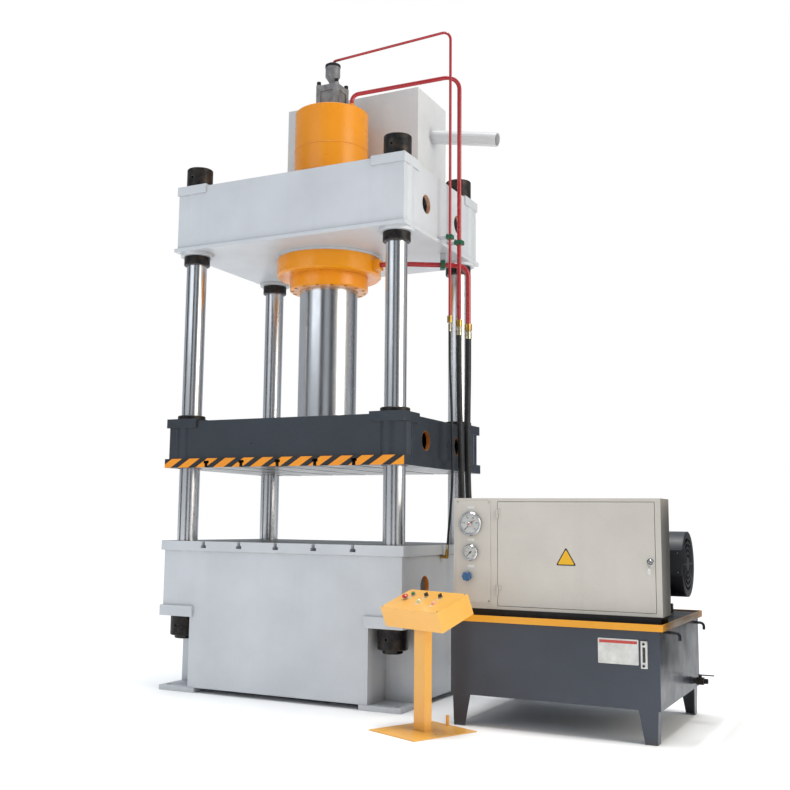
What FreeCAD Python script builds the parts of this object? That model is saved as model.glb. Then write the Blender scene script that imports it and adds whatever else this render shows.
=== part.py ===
import FreeCAD, Part
import math
import os

from FreeCAD import Placement, Rotation, Vector

# Four-column hydraulic press with its power unit and operator pedestal.
# Millimetres. The origin is the centre of the press on the floor, +X to the
# power unit, -Y to the operator, +Z up.

# Columns and their nuts
COLUMN_X = 900.0
COLUMN_Y = 586.5
COLUMN_R = 80.0
COLUMN_BOTTOM = 407.0
COLUMN_TOP = 4115.0
STUB_R = 74.0
STUB_H = 25.0
LOWER_NUT_R = 107.0
LOWER_NUT_H = 150.0
UPPER_NUT_R = 105.0
UPPER_NUT_H = 165.0
COLLAR_R = 103.5
COLLAR_H = 72.0
BOSS_R = 132.0
BOSS_H = 27.0
SEAT_GAP = 0.5

# Bed: a welded box with a niche at each corner for the lower nuts
BED_X = 1022.0
BED_Y = 705.5
FOOT_T = 36.0
FOOT_X = (701.0, 1025.0)
FOOT_Y = (430.0, 715.0)
ANCHOR_X = 975.0
ANCHOR_Y = 655.0
ANCHOR_R = 21.0
NICHE_X = 765.0
NICHE_Y = 435.0
NICHE_Z = (557.0, 637.0)
NICHE_LIP = 18.0
WALL = 30.0
RIB = 25.0
SLEEVE_R = 120.0
TABLE_Z = (1054.5, 1127.0)
TABLE_LIP = 20.0
BED_HOLE_Y = 324.0
BED_HOLE_Z = 836.0
LIFT_HOLE_R = 72.5

# T-slots, the same in the table and in the slide
SLOT_PITCH = 322.0
SLOT_NECK = 28.0
SLOT_NECK_DEPTH = 30.0
SLOT_HEAD = 48.0
SLOT_DEPTH = 52.0

# Slide at rest, half open
SLIDE_X = 1018.0
SLIDE_Y = 703.0
SLIDE_PLATE_Z = (1688.5, 1758.0)
SLIDE_PLATE_LIP = 23.0
SLIDE_TOP = 2054.0
SLIDE_HOLE_Y = 306.0
SLIDE_HOLE_Z = 1884.0
BUSH_R = 100.0
BUSH_FLANGE_R = 109.0
BUSH_FLANGE_H = 32.0
RUNNING_FIT = 0.05

# Corner pads on the slide and on the crown
PAD_X = 278.0
PAD_Y = 266.0
SLIDE_PAD_Z = (2001.0, 2071.0)
SLIDE_PAD_LIP = 18.0
CROWN_PAD_Z = (3892.0, 3965.0)
CROWN_PAD_LIP = 11.0

# Crown
CROWN_X = 1010.0
CROWN_Y = 706.0
CROWN_PLATE_Z = (3424.0, 3453.0)
CROWN_PLATE_LIP = 19.0
CROWN_TOP = 3950.0
CROWN_HOLE_Z = 3677.0
SEAT_RING_R = 436.0
SEAT_RING_H = 20.0

# Cylinder
BARREL_R = 305.0
BORE_R = 250.0
BARREL_TOP = 4658.0
BORE_TOP = 4538.0
FLANGE_R = 426.0
FLANGE_H = 145.0
GLAND_R = 320.0
GLAND_H = 112.0
RAM_R = 235.0
RAM_SPIGOT_R = 180.0
RAM_FLANGE_R = 345.0
RAM_FLANGE_H = 28.0
PISTON_Z = (3800.0, 3960.0)

# Prefill valve on top of the cylinder
VALVE_SIDE = 200.0
VALVE_TOP = 4900.0
PASSAGE_R = 70.0
HEAD_R = 62.0
HEAD_TOP = 5104.0

# Refill tank behind the cylinder
REFILL_X = 637.0
REFILL_Y = (335.0, 925.0)
REFILL_TOP = 4928.0
REFILL_SHEET = 6.0
SUCTION_Z = 4780.0

# Red steel pipes and the hoses that follow them down
PIPE_X = 1110.0
PILOT_Y = -84.0
UPPER_Y = 100.0
LOWER_Y = 290.0
PILOT_R = 10.5
UPPER_R = 17.0
LOWER_R = 20.0
PIPE_END_Z = 2840.0
FITTING_H = 110.0
CLAMP_MARGIN = 14.0
CLAMP_Z = 3450.0
CLAMP_H = 32.0

# Oil tank of the power unit
TANK_X = (1450.0, 2795.0)
TANK_Y = (-850.0, 400.0)
TANK_Z = (195.0, 684.0)
TANK_SHEET = 5.0
RIM_OUT = 25.0
RIM_Z = (660.0, 702.0)
COVER_T = 8.0

# Switch cabinet on the front edge of the tank
CABINET_X = (1445.0, 2805.0)
CABINET_Y = (-790.0, -549.0)
CABINET_Z = (738.0, 1453.0)
CABINET_SHEET = 3.0
DOORWAY_X = (1750.0, 2770.0)
DOORWAY_Z = (758.0, 1432.0)
DOOR_GAP = 3.0
DOOR_T = 20.0
HINGE_X = 1751.0
HINGE_Y = -797.0
HINGE_Z = (1350.0, 860.0)
LOCK = (2738.0, 1067.0)
GAUGE_PANEL_X = (1462.0, 1704.0)
GAUGE_PANEL_Z = (775.0, 1438.0)
MAIN_GAUGE = (1566.0, 1283.0)
PILOT_GAUGE = (1566.0, 1096.0)
KNOB = (1545.0, 942.0)

# Motor and pump, in line along X behind the cabinet
DRIVE_Y = 120.0
DRIVE_Z = 1030.0
MOTOR_R = 212.0
SHAFT_R = 30.0
RAIL_TOP = 750.0

# Operator pedestal, turned and tilted towards the operator
PEDESTAL = (1391.0, -1160.0)
DESK_TOP = 798.0
DESK_TURN = -24.0
DESK_TILT = 22.0
DESK = (540.0, 280.0, 132.0)

CORNERS = [(-1, -1), (1, -1), (-1, 1), (1, 1)]
AXES = {"x": Vector(1, 0, 0), "y": Vector(0, 1, 0), "z": Vector(0, 0, 1)}


# ---------------------------------------------------------------- helpers

def block(x, y, z):
    """A box between the low and high limit on each axis."""
    return Part.makeBox(x[1] - x[0], y[1] - y[0], z[1] - z[0], Vector(x[0], y[0], z[0]))


def slab(half_x, half_y, z):
    """A box centred on the Z axis."""
    return block((-half_x, half_x), (-half_y, half_y), z)


def bar(radius, start, length, axis="z"):
    """A round bar from a start point along one axis."""
    return Part.makeCylinder(radius, length, Vector(*start), AXES[axis])


def ring(outer, inner, start, length, axis="z"):
    """A round tube from a start point along one axis."""
    return bar(outer, start, length, axis).cut(bar(inner, start, length, axis))


def turned(profile, centre=(0.0, 0.0)):
    """A closed half section of (radius, height) points, turned about Z."""
    points = [Vector(radius, 0, height) for radius, height in profile]
    face = Part.Face(Part.makePolygon(points + points[:1]))
    solid = face.revolve(Vector(0, 0, 0), Vector(0, 0, 1), 360)
    solid.translate(Vector(centre[0], centre[1], 0))
    return solid


def turned_along(profile, start, axis):
    """The same half section, its height laid along X or -Y from a start point."""
    solid = turned(profile)
    turn = {"x": Rotation(Vector(0, 1, 0), 90), "-y": Rotation(Vector(1, 0, 0), 90)}[axis]
    solid.Placement = Placement(Vector(*start), turn)
    return solid


def prism(points, depth):
    """A flat outline of 3D points pushed along the depth vector."""
    corners = [Vector(*point) for point in points]
    return Part.Face(Part.makePolygon(corners + corners[:1])).extrude(Vector(*depth))


def weld(first, *others):
    """Several shapes fused into one solid."""
    return first.fuse(list(others)).removeSplitter()


def route(points, radii):
    """Straight runs through the points, joined by tangent arcs."""
    corners = [Vector(*point) for point in points]
    edges = []
    start = corners[0]
    for before, corner, after, radius in zip(corners, corners[1:], corners[2:], radii):
        towards = (before - corner).normalize()
        away = (after - corner).normalize()
        half_turn = (math.pi - towards.getAngle(away)) / 2
        reach = radius * math.tan(half_turn)
        first = corner + towards * reach
        last = corner + away * reach
        centre = corner + (towards + away).normalize() * (radius / math.cos(half_turn))
        middle = centre + (corner - centre).normalize() * radius
        edges.append(Part.LineSegment(start, first).toShape())
        edges.append(Part.Arc(first, middle, last).toShape())
        start = last
    edges.append(Part.LineSegment(start, corners[-1]).toShape())
    return Part.Wire(edges)


def swept(path, radius):
    """A round solid along a path, checked against its section times its length."""
    start = path.Vertexes[0].Point
    along = path.Edges[0].tangentAt(path.Edges[0].FirstParameter)
    section = Part.Wire(Part.makeCircle(radius, start, along))
    solid = path.makePipeShell([section], True, True)
    expected = math.pi * radius ** 2 * path.Length
    if abs(solid.Volume / expected - 1) > 0.01:
        print("swept volume is off by", round(solid.Volume / expected - 1, 3))
    return solid


def cord_radii(points):
    """The largest tangent arcs that a free hose's runs allow."""
    corners = [Vector(*point) for point in points]
    radii = []
    for before, corner, after in zip(corners, corners[1:], corners[2:]):
        shorter = min((corner - before).Length, (after - corner).Length)
        half_turn = (corner - before).getAngle(after - corner) / 2
        radii.append(0.45 * shorter / math.tan(half_turn))
    return radii


def save(name, *solids):
    """Write one node's STEP file from its separate solids."""
    shape = solids[0] if len(solids) == 1 else Part.makeCompound(list(solids))
    count = len(shape.Solids)
    print(f"{name:20s} {count:3d} solids {shape.Volume / 1e6:10.2f} dm3 valid {shape.isValid()}")
    shape.exportStep(f"parts/{name}.step")


# ------------------------------------------------------------- press frame

def side_holes(half_x, y, z):
    """Cutters for the lifting holes in both side walls."""
    reach = WALL + 60
    return [bar(LIFT_HOLE_R, (side, sy * y, z), reach, "x")
            for side in (-half_x - 30, half_x - WALL - 30) for sy in (-1, 1)]


def t_slots(face_z, into, half_length):
    """Cutters for five T-slots along Y; into is -1 down from a top face, 1 up from an underside."""
    cutters = []
    for number in range(-2, 3):
        middle = number * SLOT_PITCH
        neck = sorted((face_z - into, face_z + into * (SLOT_NECK_DEPTH + 1)))
        head = sorted((face_z + into * SLOT_NECK_DEPTH, face_z + into * SLOT_DEPTH))
        across = (middle - SLOT_NECK / 2, middle + SLOT_NECK / 2)
        under = (middle - SLOT_HEAD / 2, middle + SLOT_HEAD / 2)
        cutters.append(block(across, (-half_length, half_length), neck))
        cutters.append(block(under, (-half_length, half_length), head))
    return cutters


def at_columns(make):
    """One shape per column, made by a function of its X and Y."""
    return [make(sx * COLUMN_X, sy * COLUMN_Y) for sx, sy in CORNERS]


def corner_pads(half_x, half_y, lip, z):
    """Square pads that cap the four corners and stand proud of the faces."""
    pads = []
    for sx, sy in CORNERS:
        x = sorted((sx * (half_x + lip), sx * (half_x + lip - PAD_X)))
        y = sorted((sy * (half_y + lip), sy * (half_y + lip - PAD_Y)))
        pads.append(block(x, y, z))
    return pads


def make_bed():
    floor_z = FOOT_T + WALL
    outer = weld(slab(BED_X, NICHE_Y, (FOOT_T, TABLE_Z[0])),
                 slab(NICHE_X, BED_Y, (FOOT_T, TABLE_Z[0])),
                 slab(BED_X, BED_Y, (NICHE_Z[1], TABLE_Z[0])))
    inner = weld(slab(BED_X - WALL, NICHE_Y - WALL, (floor_z, TABLE_Z[0])),
                 slab(NICHE_X - WALL, BED_Y - WALL, (floor_z, TABLE_Z[0])),
                 slab(BED_X - WALL, BED_Y - WALL, (NICHE_Z[1], TABLE_Z[0])))
    pieces = []
    for sx, sy in CORNERS:
        roof_x = sorted((sx * (NICHE_X - WALL), sx * (BED_X + NICHE_LIP)))
        roof_y = sorted((sy * (NICHE_Y - WALL), sy * (BED_Y + NICHE_LIP)))
        pieces.append(block(roof_x, roof_y, NICHE_Z))
        foot = block(sorted((sx * FOOT_X[0], sx * FOOT_X[1])),
                     sorted((sy * FOOT_Y[0], sy * FOOT_Y[1])), (0, FOOT_T))
        pieces.append(foot.cut(bar(ANCHOR_R, (sx * ANCHOR_X, sy * ANCHOR_Y, 0), FOOT_T)))
    for x in (-1.5 * SLOT_PITCH, -0.5 * SLOT_PITCH, 0.5 * SLOT_PITCH, 1.5 * SLOT_PITCH):
        pieces.append(block((x - RIB / 2, x + RIB / 2), (WALL - BED_Y, BED_Y - WALL), (floor_z, TABLE_Z[0])))
    for y in (-235.0, 235.0):
        pieces.append(block((WALL - BED_X, BED_X - WALL), (y - RIB / 2, y + RIB / 2), (floor_z, TABLE_Z[0])))
    sleeve_h = TABLE_Z[0] - NICHE_Z[1]
    pieces += at_columns(lambda x, y: bar(SLEEVE_R, (x, y, NICHE_Z[1]), sleeve_h))
    bed = weld(outer.cut(inner), *pieces)
    holes = at_columns(lambda x, y: bar(COLUMN_R + SEAT_GAP, (x, y, NICHE_Z[0]), TABLE_Z[0] - NICHE_Z[0]))
    save("bed_frame", bed.cut(holes + side_holes(BED_X, BED_HOLE_Y, BED_HOLE_Z)))

    table = slab(BED_X + TABLE_LIP, BED_Y + TABLE_LIP, TABLE_Z)
    holes = at_columns(lambda x, y: bar(COLUMN_R + SEAT_GAP, (x, y, TABLE_Z[0]), TABLE_Z[1] - TABLE_Z[0]))
    save("bed_table", table.cut(holes + t_slots(TABLE_Z[1], -1, BED_Y + TABLE_LIP)))


def make_columns():
    stub = COLUMN_BOTTOM - STUB_H
    profile = [(0, stub), (STUB_R - 6, stub), (STUB_R, stub + 6), (STUB_R, COLUMN_BOTTOM),
               (COLUMN_R, COLUMN_BOTTOM), (COLUMN_R, COLUMN_TOP - 8), (COLUMN_R - 8, COLUMN_TOP),
               (0, COLUMN_TOP)]
    save("columns", *at_columns(lambda x, y: turned(profile, (x, y))))

    def nut(radius, z0, height, hole_r, chamfer):
        inner = COLUMN_R + SEAT_GAP
        section = [(inner, z0), (radius - chamfer, z0), (radius, z0 + chamfer),
                   (radius, z0 + height - chamfer), (radius - chamfer, z0 + height), (inner, z0 + height)]

        def make(x, y):
            spanner = bar(hole_r, (x, y - radius - 1, z0 + height / 2), radius - inner - 4, "y")
            return turned(section, (x, y)).cut(spanner)
        return make

    lower_z = NICHE_Z[0] - LOWER_NUT_H
    nuts = at_columns(nut(LOWER_NUT_R, lower_z, LOWER_NUT_H, 11, 6))
    nuts += at_columns(nut(UPPER_NUT_R, CROWN_PAD_Z[1], UPPER_NUT_H, 11, 5))
    save("column_nuts", *nuts)
    collar_z = CROWN_PLATE_Z[0] - BOSS_H - COLLAR_H
    save("crown_collars", *at_columns(nut(COLLAR_R, collar_z, COLLAR_H, 7, 4)))


def make_crown():
    body_z = (CROWN_PLATE_Z[1], CROWN_TOP)
    inside = (body_z[0], body_z[1] - WALL)
    shell = slab(CROWN_X, CROWN_Y, body_z).cut(slab(CROWN_X - WALL, CROWN_Y - WALL, inside))
    pieces = [slab(CROWN_X + CROWN_PLATE_LIP, CROWN_Y + CROWN_PLATE_LIP, CROWN_PLATE_Z)]
    pieces += corner_pads(CROWN_X, CROWN_Y, CROWN_PAD_LIP, CROWN_PAD_Z)
    for x in (-460.0, 460.0):
        pieces.append(block((x - RIB / 2, x + RIB / 2), (WALL - CROWN_Y, CROWN_Y - WALL), inside))
    for y in (-440.0, 440.0):
        pieces.append(block((WALL - CROWN_X, CROWN_X - WALL), (y - RIB / 2, y + RIB / 2), inside))
    boss_z = CROWN_PLATE_Z[0] - BOSS_H
    pieces += at_columns(lambda x, y: bar(BOSS_R, (x, y, boss_z), BOSS_H))
    pieces += at_columns(lambda x, y: bar(SLEEVE_R, (x, y, body_z[0]), inside[1] - body_z[0]))
    pieces.append(bar(BARREL_R + 40, (0, 0, body_z[0]), inside[1] - body_z[0]))
    pieces.append(bar(SEAT_RING_R, (0, 0, CROWN_PLATE_Z[0] - SEAT_RING_H), SEAT_RING_H))
    for y, radius in ((PILOT_Y, PILOT_R), (UPPER_Y, UPPER_R)):
        clamp_back = PIPE_X - radius - CLAMP_MARGIN
        pieces.append(block((CROWN_X - 10, clamp_back), (y - 12, y + 12), (CLAMP_Z + 6, CLAMP_Z + 26)))
    pieces.append(block((905, 955), (198, 206), (3352, CROWN_PLATE_Z[0])))
    crown = weld(shell, *pieces)
    holes = at_columns(lambda x, y: bar(COLUMN_R + SEAT_GAP, (x, y, boss_z), CROWN_PAD_Z[1] - boss_z))
    holes.append(bar(BARREL_R + SEAT_GAP, (0, 0, CROWN_PLATE_Z[0] - SEAT_RING_H), 700))
    save("crown_frame", crown.cut(holes + side_holes(CROWN_X, SLIDE_HOLE_Y, CROWN_HOLE_Z)))


# ---------------------------------------------------------------- cylinder

def bolt_circle(radius, count):
    """Points evenly spread on a circle about the Z axis."""
    step = 2 * math.pi / count
    return [(radius * math.cos(step * (n + 0.5)), radius * math.sin(step * (n + 0.5))) for n in range(count)]


def cap_screw(x, y, seat, head_r, up):
    """The head and shank of a socket screw; up is 1 when the head stands above its seat."""
    low = seat if up > 0 else seat - 1.1 * head_r
    head = bar(head_r, (x, y, low), 1.1 * head_r)
    socket = bar(0.5 * head_r, (x, y, low + (0.6 * head_r if up > 0 else 0)), 0.5 * head_r)
    shank = bar(0.6 * head_r, (x, y, seat - 40 if up > 0 else seat), 40)
    return weld(head.cut(socket), shank)


def make_cylinder():
    flange_z = CROWN_PLATE_Z[0] - SEAT_RING_H - FLANGE_H
    gland_z = flange_z - GLAND_H
    barrel = turned([(BORE_R, flange_z), (FLANGE_R - 14, flange_z), (FLANGE_R, flange_z + 14),
                     (FLANGE_R, flange_z + FLANGE_H), (BARREL_R, flange_z + FLANGE_H),
                     (BARREL_R, BARREL_TOP - 6), (BARREL_R - 6, BARREL_TOP), (90, BARREL_TOP),
                     (90, BORE_TOP), (BORE_R, BORE_TOP)])
    port = block((FLANGE_R - 12, 475), (-45, 45), (3290, 3370))
    stub = bar(24, (225, -70, BARREL_TOP), 38)
    screws = bolt_circle(GLAND_R - 26, 16)
    gland_holes = [bar(9.7, (x, y, flange_z), 41) for x, y in screws]
    valve_r = VALVE_SIDE / 2 - 16
    valve_points = [(sx * valve_r, sy * valve_r) for sx, sy in CORNERS]
    valve_holes = [bar(8.5, (x, y, BARREL_TOP - 41), 41) for x, y in valve_points]
    save("cylinder_barrel", weld(barrel, port, stub).cut(gland_holes + valve_holes))

    lip = 18.0
    gland = turned([(RAM_R + 3, gland_z), (GLAND_R - 10, gland_z), (GLAND_R, gland_z + 10), (GLAND_R, flange_z),
                    (BORE_R, flange_z), (BORE_R, gland_z + lip), (RAM_R + 3, gland_z + lip)])
    counterbore = [bar(17, (x, y, gland_z), 20) for x, y in screws]
    through = [bar(9.7, (x, y, gland_z), GLAND_H) for x, y in screws]
    save("gland_ring", gland.cut(counterbore + through))
    save("guide_bush", ring(BORE_R - 0.1, RAM_R + RUNNING_FIT, (0, 0, gland_z + lip), 175))

    heads = []
    for x, y in screws:
        head = bar(14, (x, y, gland_z + 3), 17).cut(bar(7, (x, y, gland_z + 3), 9))
        heads.append(weld(head, bar(9.6, (x, y, gland_z + 20), GLAND_H)))
    for x, y in valve_points:
        heads.append(cap_screw(x, y, BARREL_TOP + 242 + 6, 14, 1))
    save("cap_screws", *heads)

    piston = turned([(RAM_SPIGOT_R + SEAT_GAP / 5, PISTON_Z[0]), (BORE_R - 4, PISTON_Z[0]),
                     (BORE_R - RUNNING_FIT, PISTON_Z[0] + 8), (BORE_R - RUNNING_FIT, PISTON_Z[0] + 50),
                     (BORE_R - 7, PISTON_Z[0] + 50), (BORE_R - 7, PISTON_Z[0] + 62),
                     (BORE_R - RUNNING_FIT, PISTON_Z[0] + 62), (BORE_R - RUNNING_FIT, PISTON_Z[1] - 8),
                     (BORE_R - 4, PISTON_Z[1]), (RAM_SPIGOT_R + SEAT_GAP / 5, PISTON_Z[1])])
    save("piston", piston)
    ram = turned([(0, SLIDE_TOP), (RAM_R, SLIDE_TOP), (RAM_R, PISTON_Z[0]), (RAM_SPIGOT_R, PISTON_Z[0]),
                  (RAM_SPIGOT_R, PISTON_Z[1]), (0, PISTON_Z[1])])
    save("ram", ram)


def make_prefill_valve():
    half = VALVE_SIDE / 2
    body = weld(slab(half, half, (BARREL_TOP, VALVE_TOP)), bar(89.5, (0, 0, BARREL_TOP - 18), 18))
    pocket = 12.0
    recess_z = (BARREL_TOP + 60, VALVE_TOP - 50)
    cutters = [bar(PASSAGE_R, (0, 0, BARREL_TOP - 18), 220), bar(15 + RUNNING_FIT, (0, 0, 4800), 140)]
    for side in (-1, 1):
        deep = sorted((side * half, side * (half - pocket)))
        cutters.append(block(deep, (-62, 62), recess_z))
    cutters.append(block((-62, 62), (-half, pocket - half), recess_z))
    cutters.append(bar(58, (0, 0, SUCTION_Z), half + 1, "y"))
    corner = half - 16
    cutters += [bar(8.5, (sx * corner, sy * corner, BARREL_TOP), 260) for sx, sy in CORNERS]
    lugs = [bar(22, (sx * corner, sy * corner, VALVE_TOP - 24), 30) for sx, sy in CORNERS]
    save("prefill_valve", weld(body, *lugs).cut(cutters))

    poppet = [(0, 4608), (70, 4608), (80, 4620), (80, 4639.6), (15, 4639.6), (15, 4884), (0, 4884)]
    save("prefill_poppet", turned(poppet))
    head = turned([(18, VALVE_TOP), (30, VALVE_TOP), (30, VALVE_TOP + 50), (HEAD_R, VALVE_TOP + 100),
                   (HEAD_R, HEAD_TOP - 22), (HEAD_R + 3, HEAD_TOP - 22), (HEAD_R + 3, HEAD_TOP - 3),
                   (HEAD_R, HEAD_TOP), (0, HEAD_TOP), (0, VALVE_TOP + 60), (18, VALVE_TOP + 60)])
    save("pilot_head", head)


def make_refill_tank():
    sheet = REFILL_SHEET
    outer = block((-REFILL_X, REFILL_X), REFILL_Y, (CROWN_TOP, REFILL_TOP))
    inner = block((sheet - REFILL_X, REFILL_X - sheet), (REFILL_Y[0] + sheet, REFILL_Y[1] - sheet),
                  (CROWN_TOP + sheet, REFILL_TOP - sheet))
    start = Vector(REFILL_X - sheet, 634, 4591)
    fall = Vector(600, 0, -121)
    drain = Part.makeCylinder(58, fall.Length, start, fall)
    drain_bore = Part.makeCylinder(52, fall.Length + 40, start - fall * 0.02, fall)
    suction = bar(68, (0, VALVE_SIDE / 2, SUCTION_Z), REFILL_Y[0] + sheet - VALVE_SIDE / 2, "y")
    suction_bore = bar(58, (0, VALVE_SIDE / 2, SUCTION_Z), REFILL_Y[0] + 60, "y")
    outside = block((REFILL_X - sheet, 1400), (500, 800), (4300, 4800))
    body = weld(outer.cut(inner), drain.common(outside), suction)
    save("refill_tank", body.cut([drain_bore, suction_bore]))


# ------------------------------------------------------------------ slide

def make_slide():
    body_z = (SLIDE_PLATE_Z[1], SLIDE_TOP)
    inside = (body_z[0], body_z[1] - WALL)
    shell = slab(SLIDE_X, SLIDE_Y, body_z).cut(slab(SLIDE_X - WALL, SLIDE_Y - WALL, inside))
    pieces = corner_pads(SLIDE_X, SLIDE_Y, SLIDE_PAD_LIP, SLIDE_PAD_Z)
    for x in (-1.5 * SLOT_PITCH, 1.5 * SLOT_PITCH):
        pieces.append(block((x - RIB / 2, x + RIB / 2), (WALL - SLIDE_Y, SLIDE_Y - WALL), inside))
    for y in (-440.0, 440.0):
        pieces.append(block((WALL - SLIDE_X, SLIDE_X - WALL), (y - RIB / 2, y + RIB / 2), inside))
    height = inside[1] - inside[0]
    pieces += at_columns(lambda x, y: bar(SLEEVE_R + 10, (x, y, inside[0]), height))
    pieces.append(bar(RAM_R, (0, 0, inside[0]), height))
    frame = weld(shell, *pieces)
    top = SLIDE_PAD_Z[1]
    bores = at_columns(lambda x, y: bar(BUSH_R + 0.05, (x, y, body_z[0]), top - body_z[0]))
    save("slide_frame", frame.cut(bores + side_holes(SLIDE_X, SLIDE_HOLE_Y, SLIDE_HOLE_Z)))

    plate = slab(SLIDE_X + SLIDE_PLATE_LIP, SLIDE_Y + SLIDE_PLATE_LIP, SLIDE_PLATE_Z)
    bores = at_columns(lambda x, y: bar(BUSH_R + 0.05, (x, y, SLIDE_PLATE_Z[0]), 100))
    slots = t_slots(SLIDE_PLATE_Z[0], 1, SLIDE_Y + SLIDE_PLATE_LIP)
    save("slide_plate", plate.cut(bores + slots))

    low = SLIDE_PLATE_Z[0] + 6
    inner = COLUMN_R + RUNNING_FIT
    bush = [(inner, low), (BUSH_R, low), (BUSH_R, top), (BUSH_FLANGE_R, top),
            (BUSH_FLANGE_R, top + BUSH_FLANGE_H - 5), (BUSH_FLANGE_R - 5, top + BUSH_FLANGE_H),
            (inner, top + BUSH_FLANGE_H)]
    save("column_bushes", *at_columns(lambda x, y: turned(bush, (x, y))))

    screws = bolt_circle(RAM_FLANGE_R - 30, 12)
    flange = turned([(RAM_R + 0.1, SLIDE_TOP), (RAM_FLANGE_R, SLIDE_TOP),
                     (RAM_FLANGE_R, SLIDE_TOP + RAM_FLANGE_H - 6),
                     (RAM_FLANGE_R - 6, SLIDE_TOP + RAM_FLANGE_H), (RAM_R + 0.1, SLIDE_TOP + RAM_FLANGE_H)])
    save("ram_flange", flange.cut([bar(9, (x, y, SLIDE_TOP), RAM_FLANGE_H) for x, y in screws]))


# --------------------------------------------------------- pipes and hoses

def make_pipes():
    def pipe(points, radii, radius, wall):
        path = route(points, radii)
        return swept(path, radius).cut(swept(path, radius - wall))

    end = PIPE_END_Z
    pilot = [(0, 0, HEAD_TOP), (0, 0, 5140), (PIPE_X, PILOT_Y, 5140), (PIPE_X, PILOT_Y, end)]
    save("pilot_pipe", pipe(pilot, [30, 75], PILOT_R, 2.5))
    upper = [(225, -70, BARREL_TOP + 38), (225, -70, 4775), (PIPE_X, UPPER_Y, 4845), (PIPE_X, UPPER_Y, end)]
    save("upper_pipe", pipe(upper, [62, 110], UPPER_R, 4))
    lower = [(475, 0, 3330), (580, 0, 3330), (PIPE_X, LOWER_Y, 3325), (PIPE_X, LOWER_Y, end)]
    save("lower_pipe", pipe(lower, [90, 95], LOWER_R, 4))

    def clamp(x, y, z, radius):
        half = radius + CLAMP_MARGIN
        body = block((x - half, x + half), (y - half, y + half), (z, z + CLAMP_H))
        bolts = [bar(5, (x - half + 8, y + side * (half - 8), z + CLAMP_H - 2), 10) for side in (-1, 1)]
        return weld(body, *bolts).cut(bar(radius + 0.2, (x, y, z), 50))

    clamps = [clamp(PIPE_X, PILOT_Y, CLAMP_Z, PILOT_R), clamp(PIPE_X, UPPER_Y, CLAMP_Z, UPPER_R)]
    run = Vector(PIPE_X - 580, LOWER_Y, -5)
    middle = Vector(580, 0, 3330) + run * ((930.0 - 580) / run.x)
    block_on_run = Part.makeBox(34, 68, 68, Vector(-17, -34, -34))
    block_on_run = block_on_run.cut(bar(LOWER_R + 0.2, (-20, 0, 0), 40, "x"))
    heading = math.degrees(math.atan2(run.y, run.x))
    block_on_run.Placement = Placement(middle, Rotation(Vector(0, 0, 1), heading))
    hanger = block((905, 955), (198, 206), (3352, 3424))
    clamps.append(block_on_run.cut(hanger))
    save("pipe_clamps", *clamps)


PILOT_ROUTE = [(1110, -84, 2730), (1110, -84, 2560), (1118, -86, 2380), (1128, -83, 2140), (1134, -86, 1880),
               (1137, -83, 1630), (1121, -80, 1400), (1098, -66, 1230), (1084, -50, 1130)]
UPPER_ROUTE = [(1110, 100, 2730), (1110, 100, 2440), (1121, 99, 2060), (1129, 103, 1650), (1142, 100, 1330),
               (1172, 101, 1130), (1250, 100, 975), (1365, 101, 875), (1500, 101, 875)]
LOWER_ROUTE = [(1110, 290, 2730), (1110, 290, 2440), (1103, 290, 2080), (1108, 285, 1640), (1124, 289, 1300),
               (1158, 287, 1100), (1238, 290, 955), (1356, 289, 875), (1500, 289, 875)]


def make_hoses():
    for name, points, radius in (("pilot_hose", PILOT_ROUTE, 9.0), ("upper_hose", UPPER_ROUTE, 22.0),
                                 ("lower_hose", LOWER_ROUTE, 24.0)):
        radii = cord_radii(points)
        path = route(points, radii)
        print(name, "length", round(path.Length), "radii", [round(value) for value in radii])
        save(name, swept(path, radius))

    def straight_end(x, y, pipe_r, hose_r):
        low = PIPE_END_Z - FITTING_H
        return turned([(0, low), (hose_r + 3, low), (hose_r + 3, low + 55), (hose_r - 1, low + 60),
                       (hose_r - 1, low + 66), (pipe_r + 9, low + 68), (pipe_r + 9, PIPE_END_Z + 10),
                       (pipe_r + 0.2, PIPE_END_Z + 10), (pipe_r + 0.2, PIPE_END_Z), (0, PIPE_END_Z)], (x, y))

    ends = [straight_end(PIPE_X, PILOT_Y, PILOT_R, 9), straight_end(PIPE_X, UPPER_Y, UPPER_R, 22),
            straight_end(PIPE_X, LOWER_Y, LOWER_R, 24)]
    for y, radius in ((101, 22), (289, 24)):
        ends.append(turned_along([(0, 0), (radius + 3, 0), (radius + 3, 32), (radius - 2, 34), (radius - 2, 38),
                                  (radius + 6, 40), (radius + 6, 60), (0, 60)], (1500, y, 875), "x"))
    start = Vector(*PILOT_ROUTE[-1])
    down = (start - Vector(*PILOT_ROUTE[-2])).normalize()
    centre = start + down * 94
    ferrule = Part.makeCylinder(11.5, 50, start, down)
    nut = Part.makeCylinder(14, 36, start + down * 50, down)
    stub = bar(13, (BED_X, centre.y, centre.z), centre.x - BED_X, "x")
    elbow = weld(stub, Part.makeSphere(15, centre), nut)
    save("hose_fittings", *ends, elbow, ferrule)


# ------------------------------------------------------------- power unit

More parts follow.
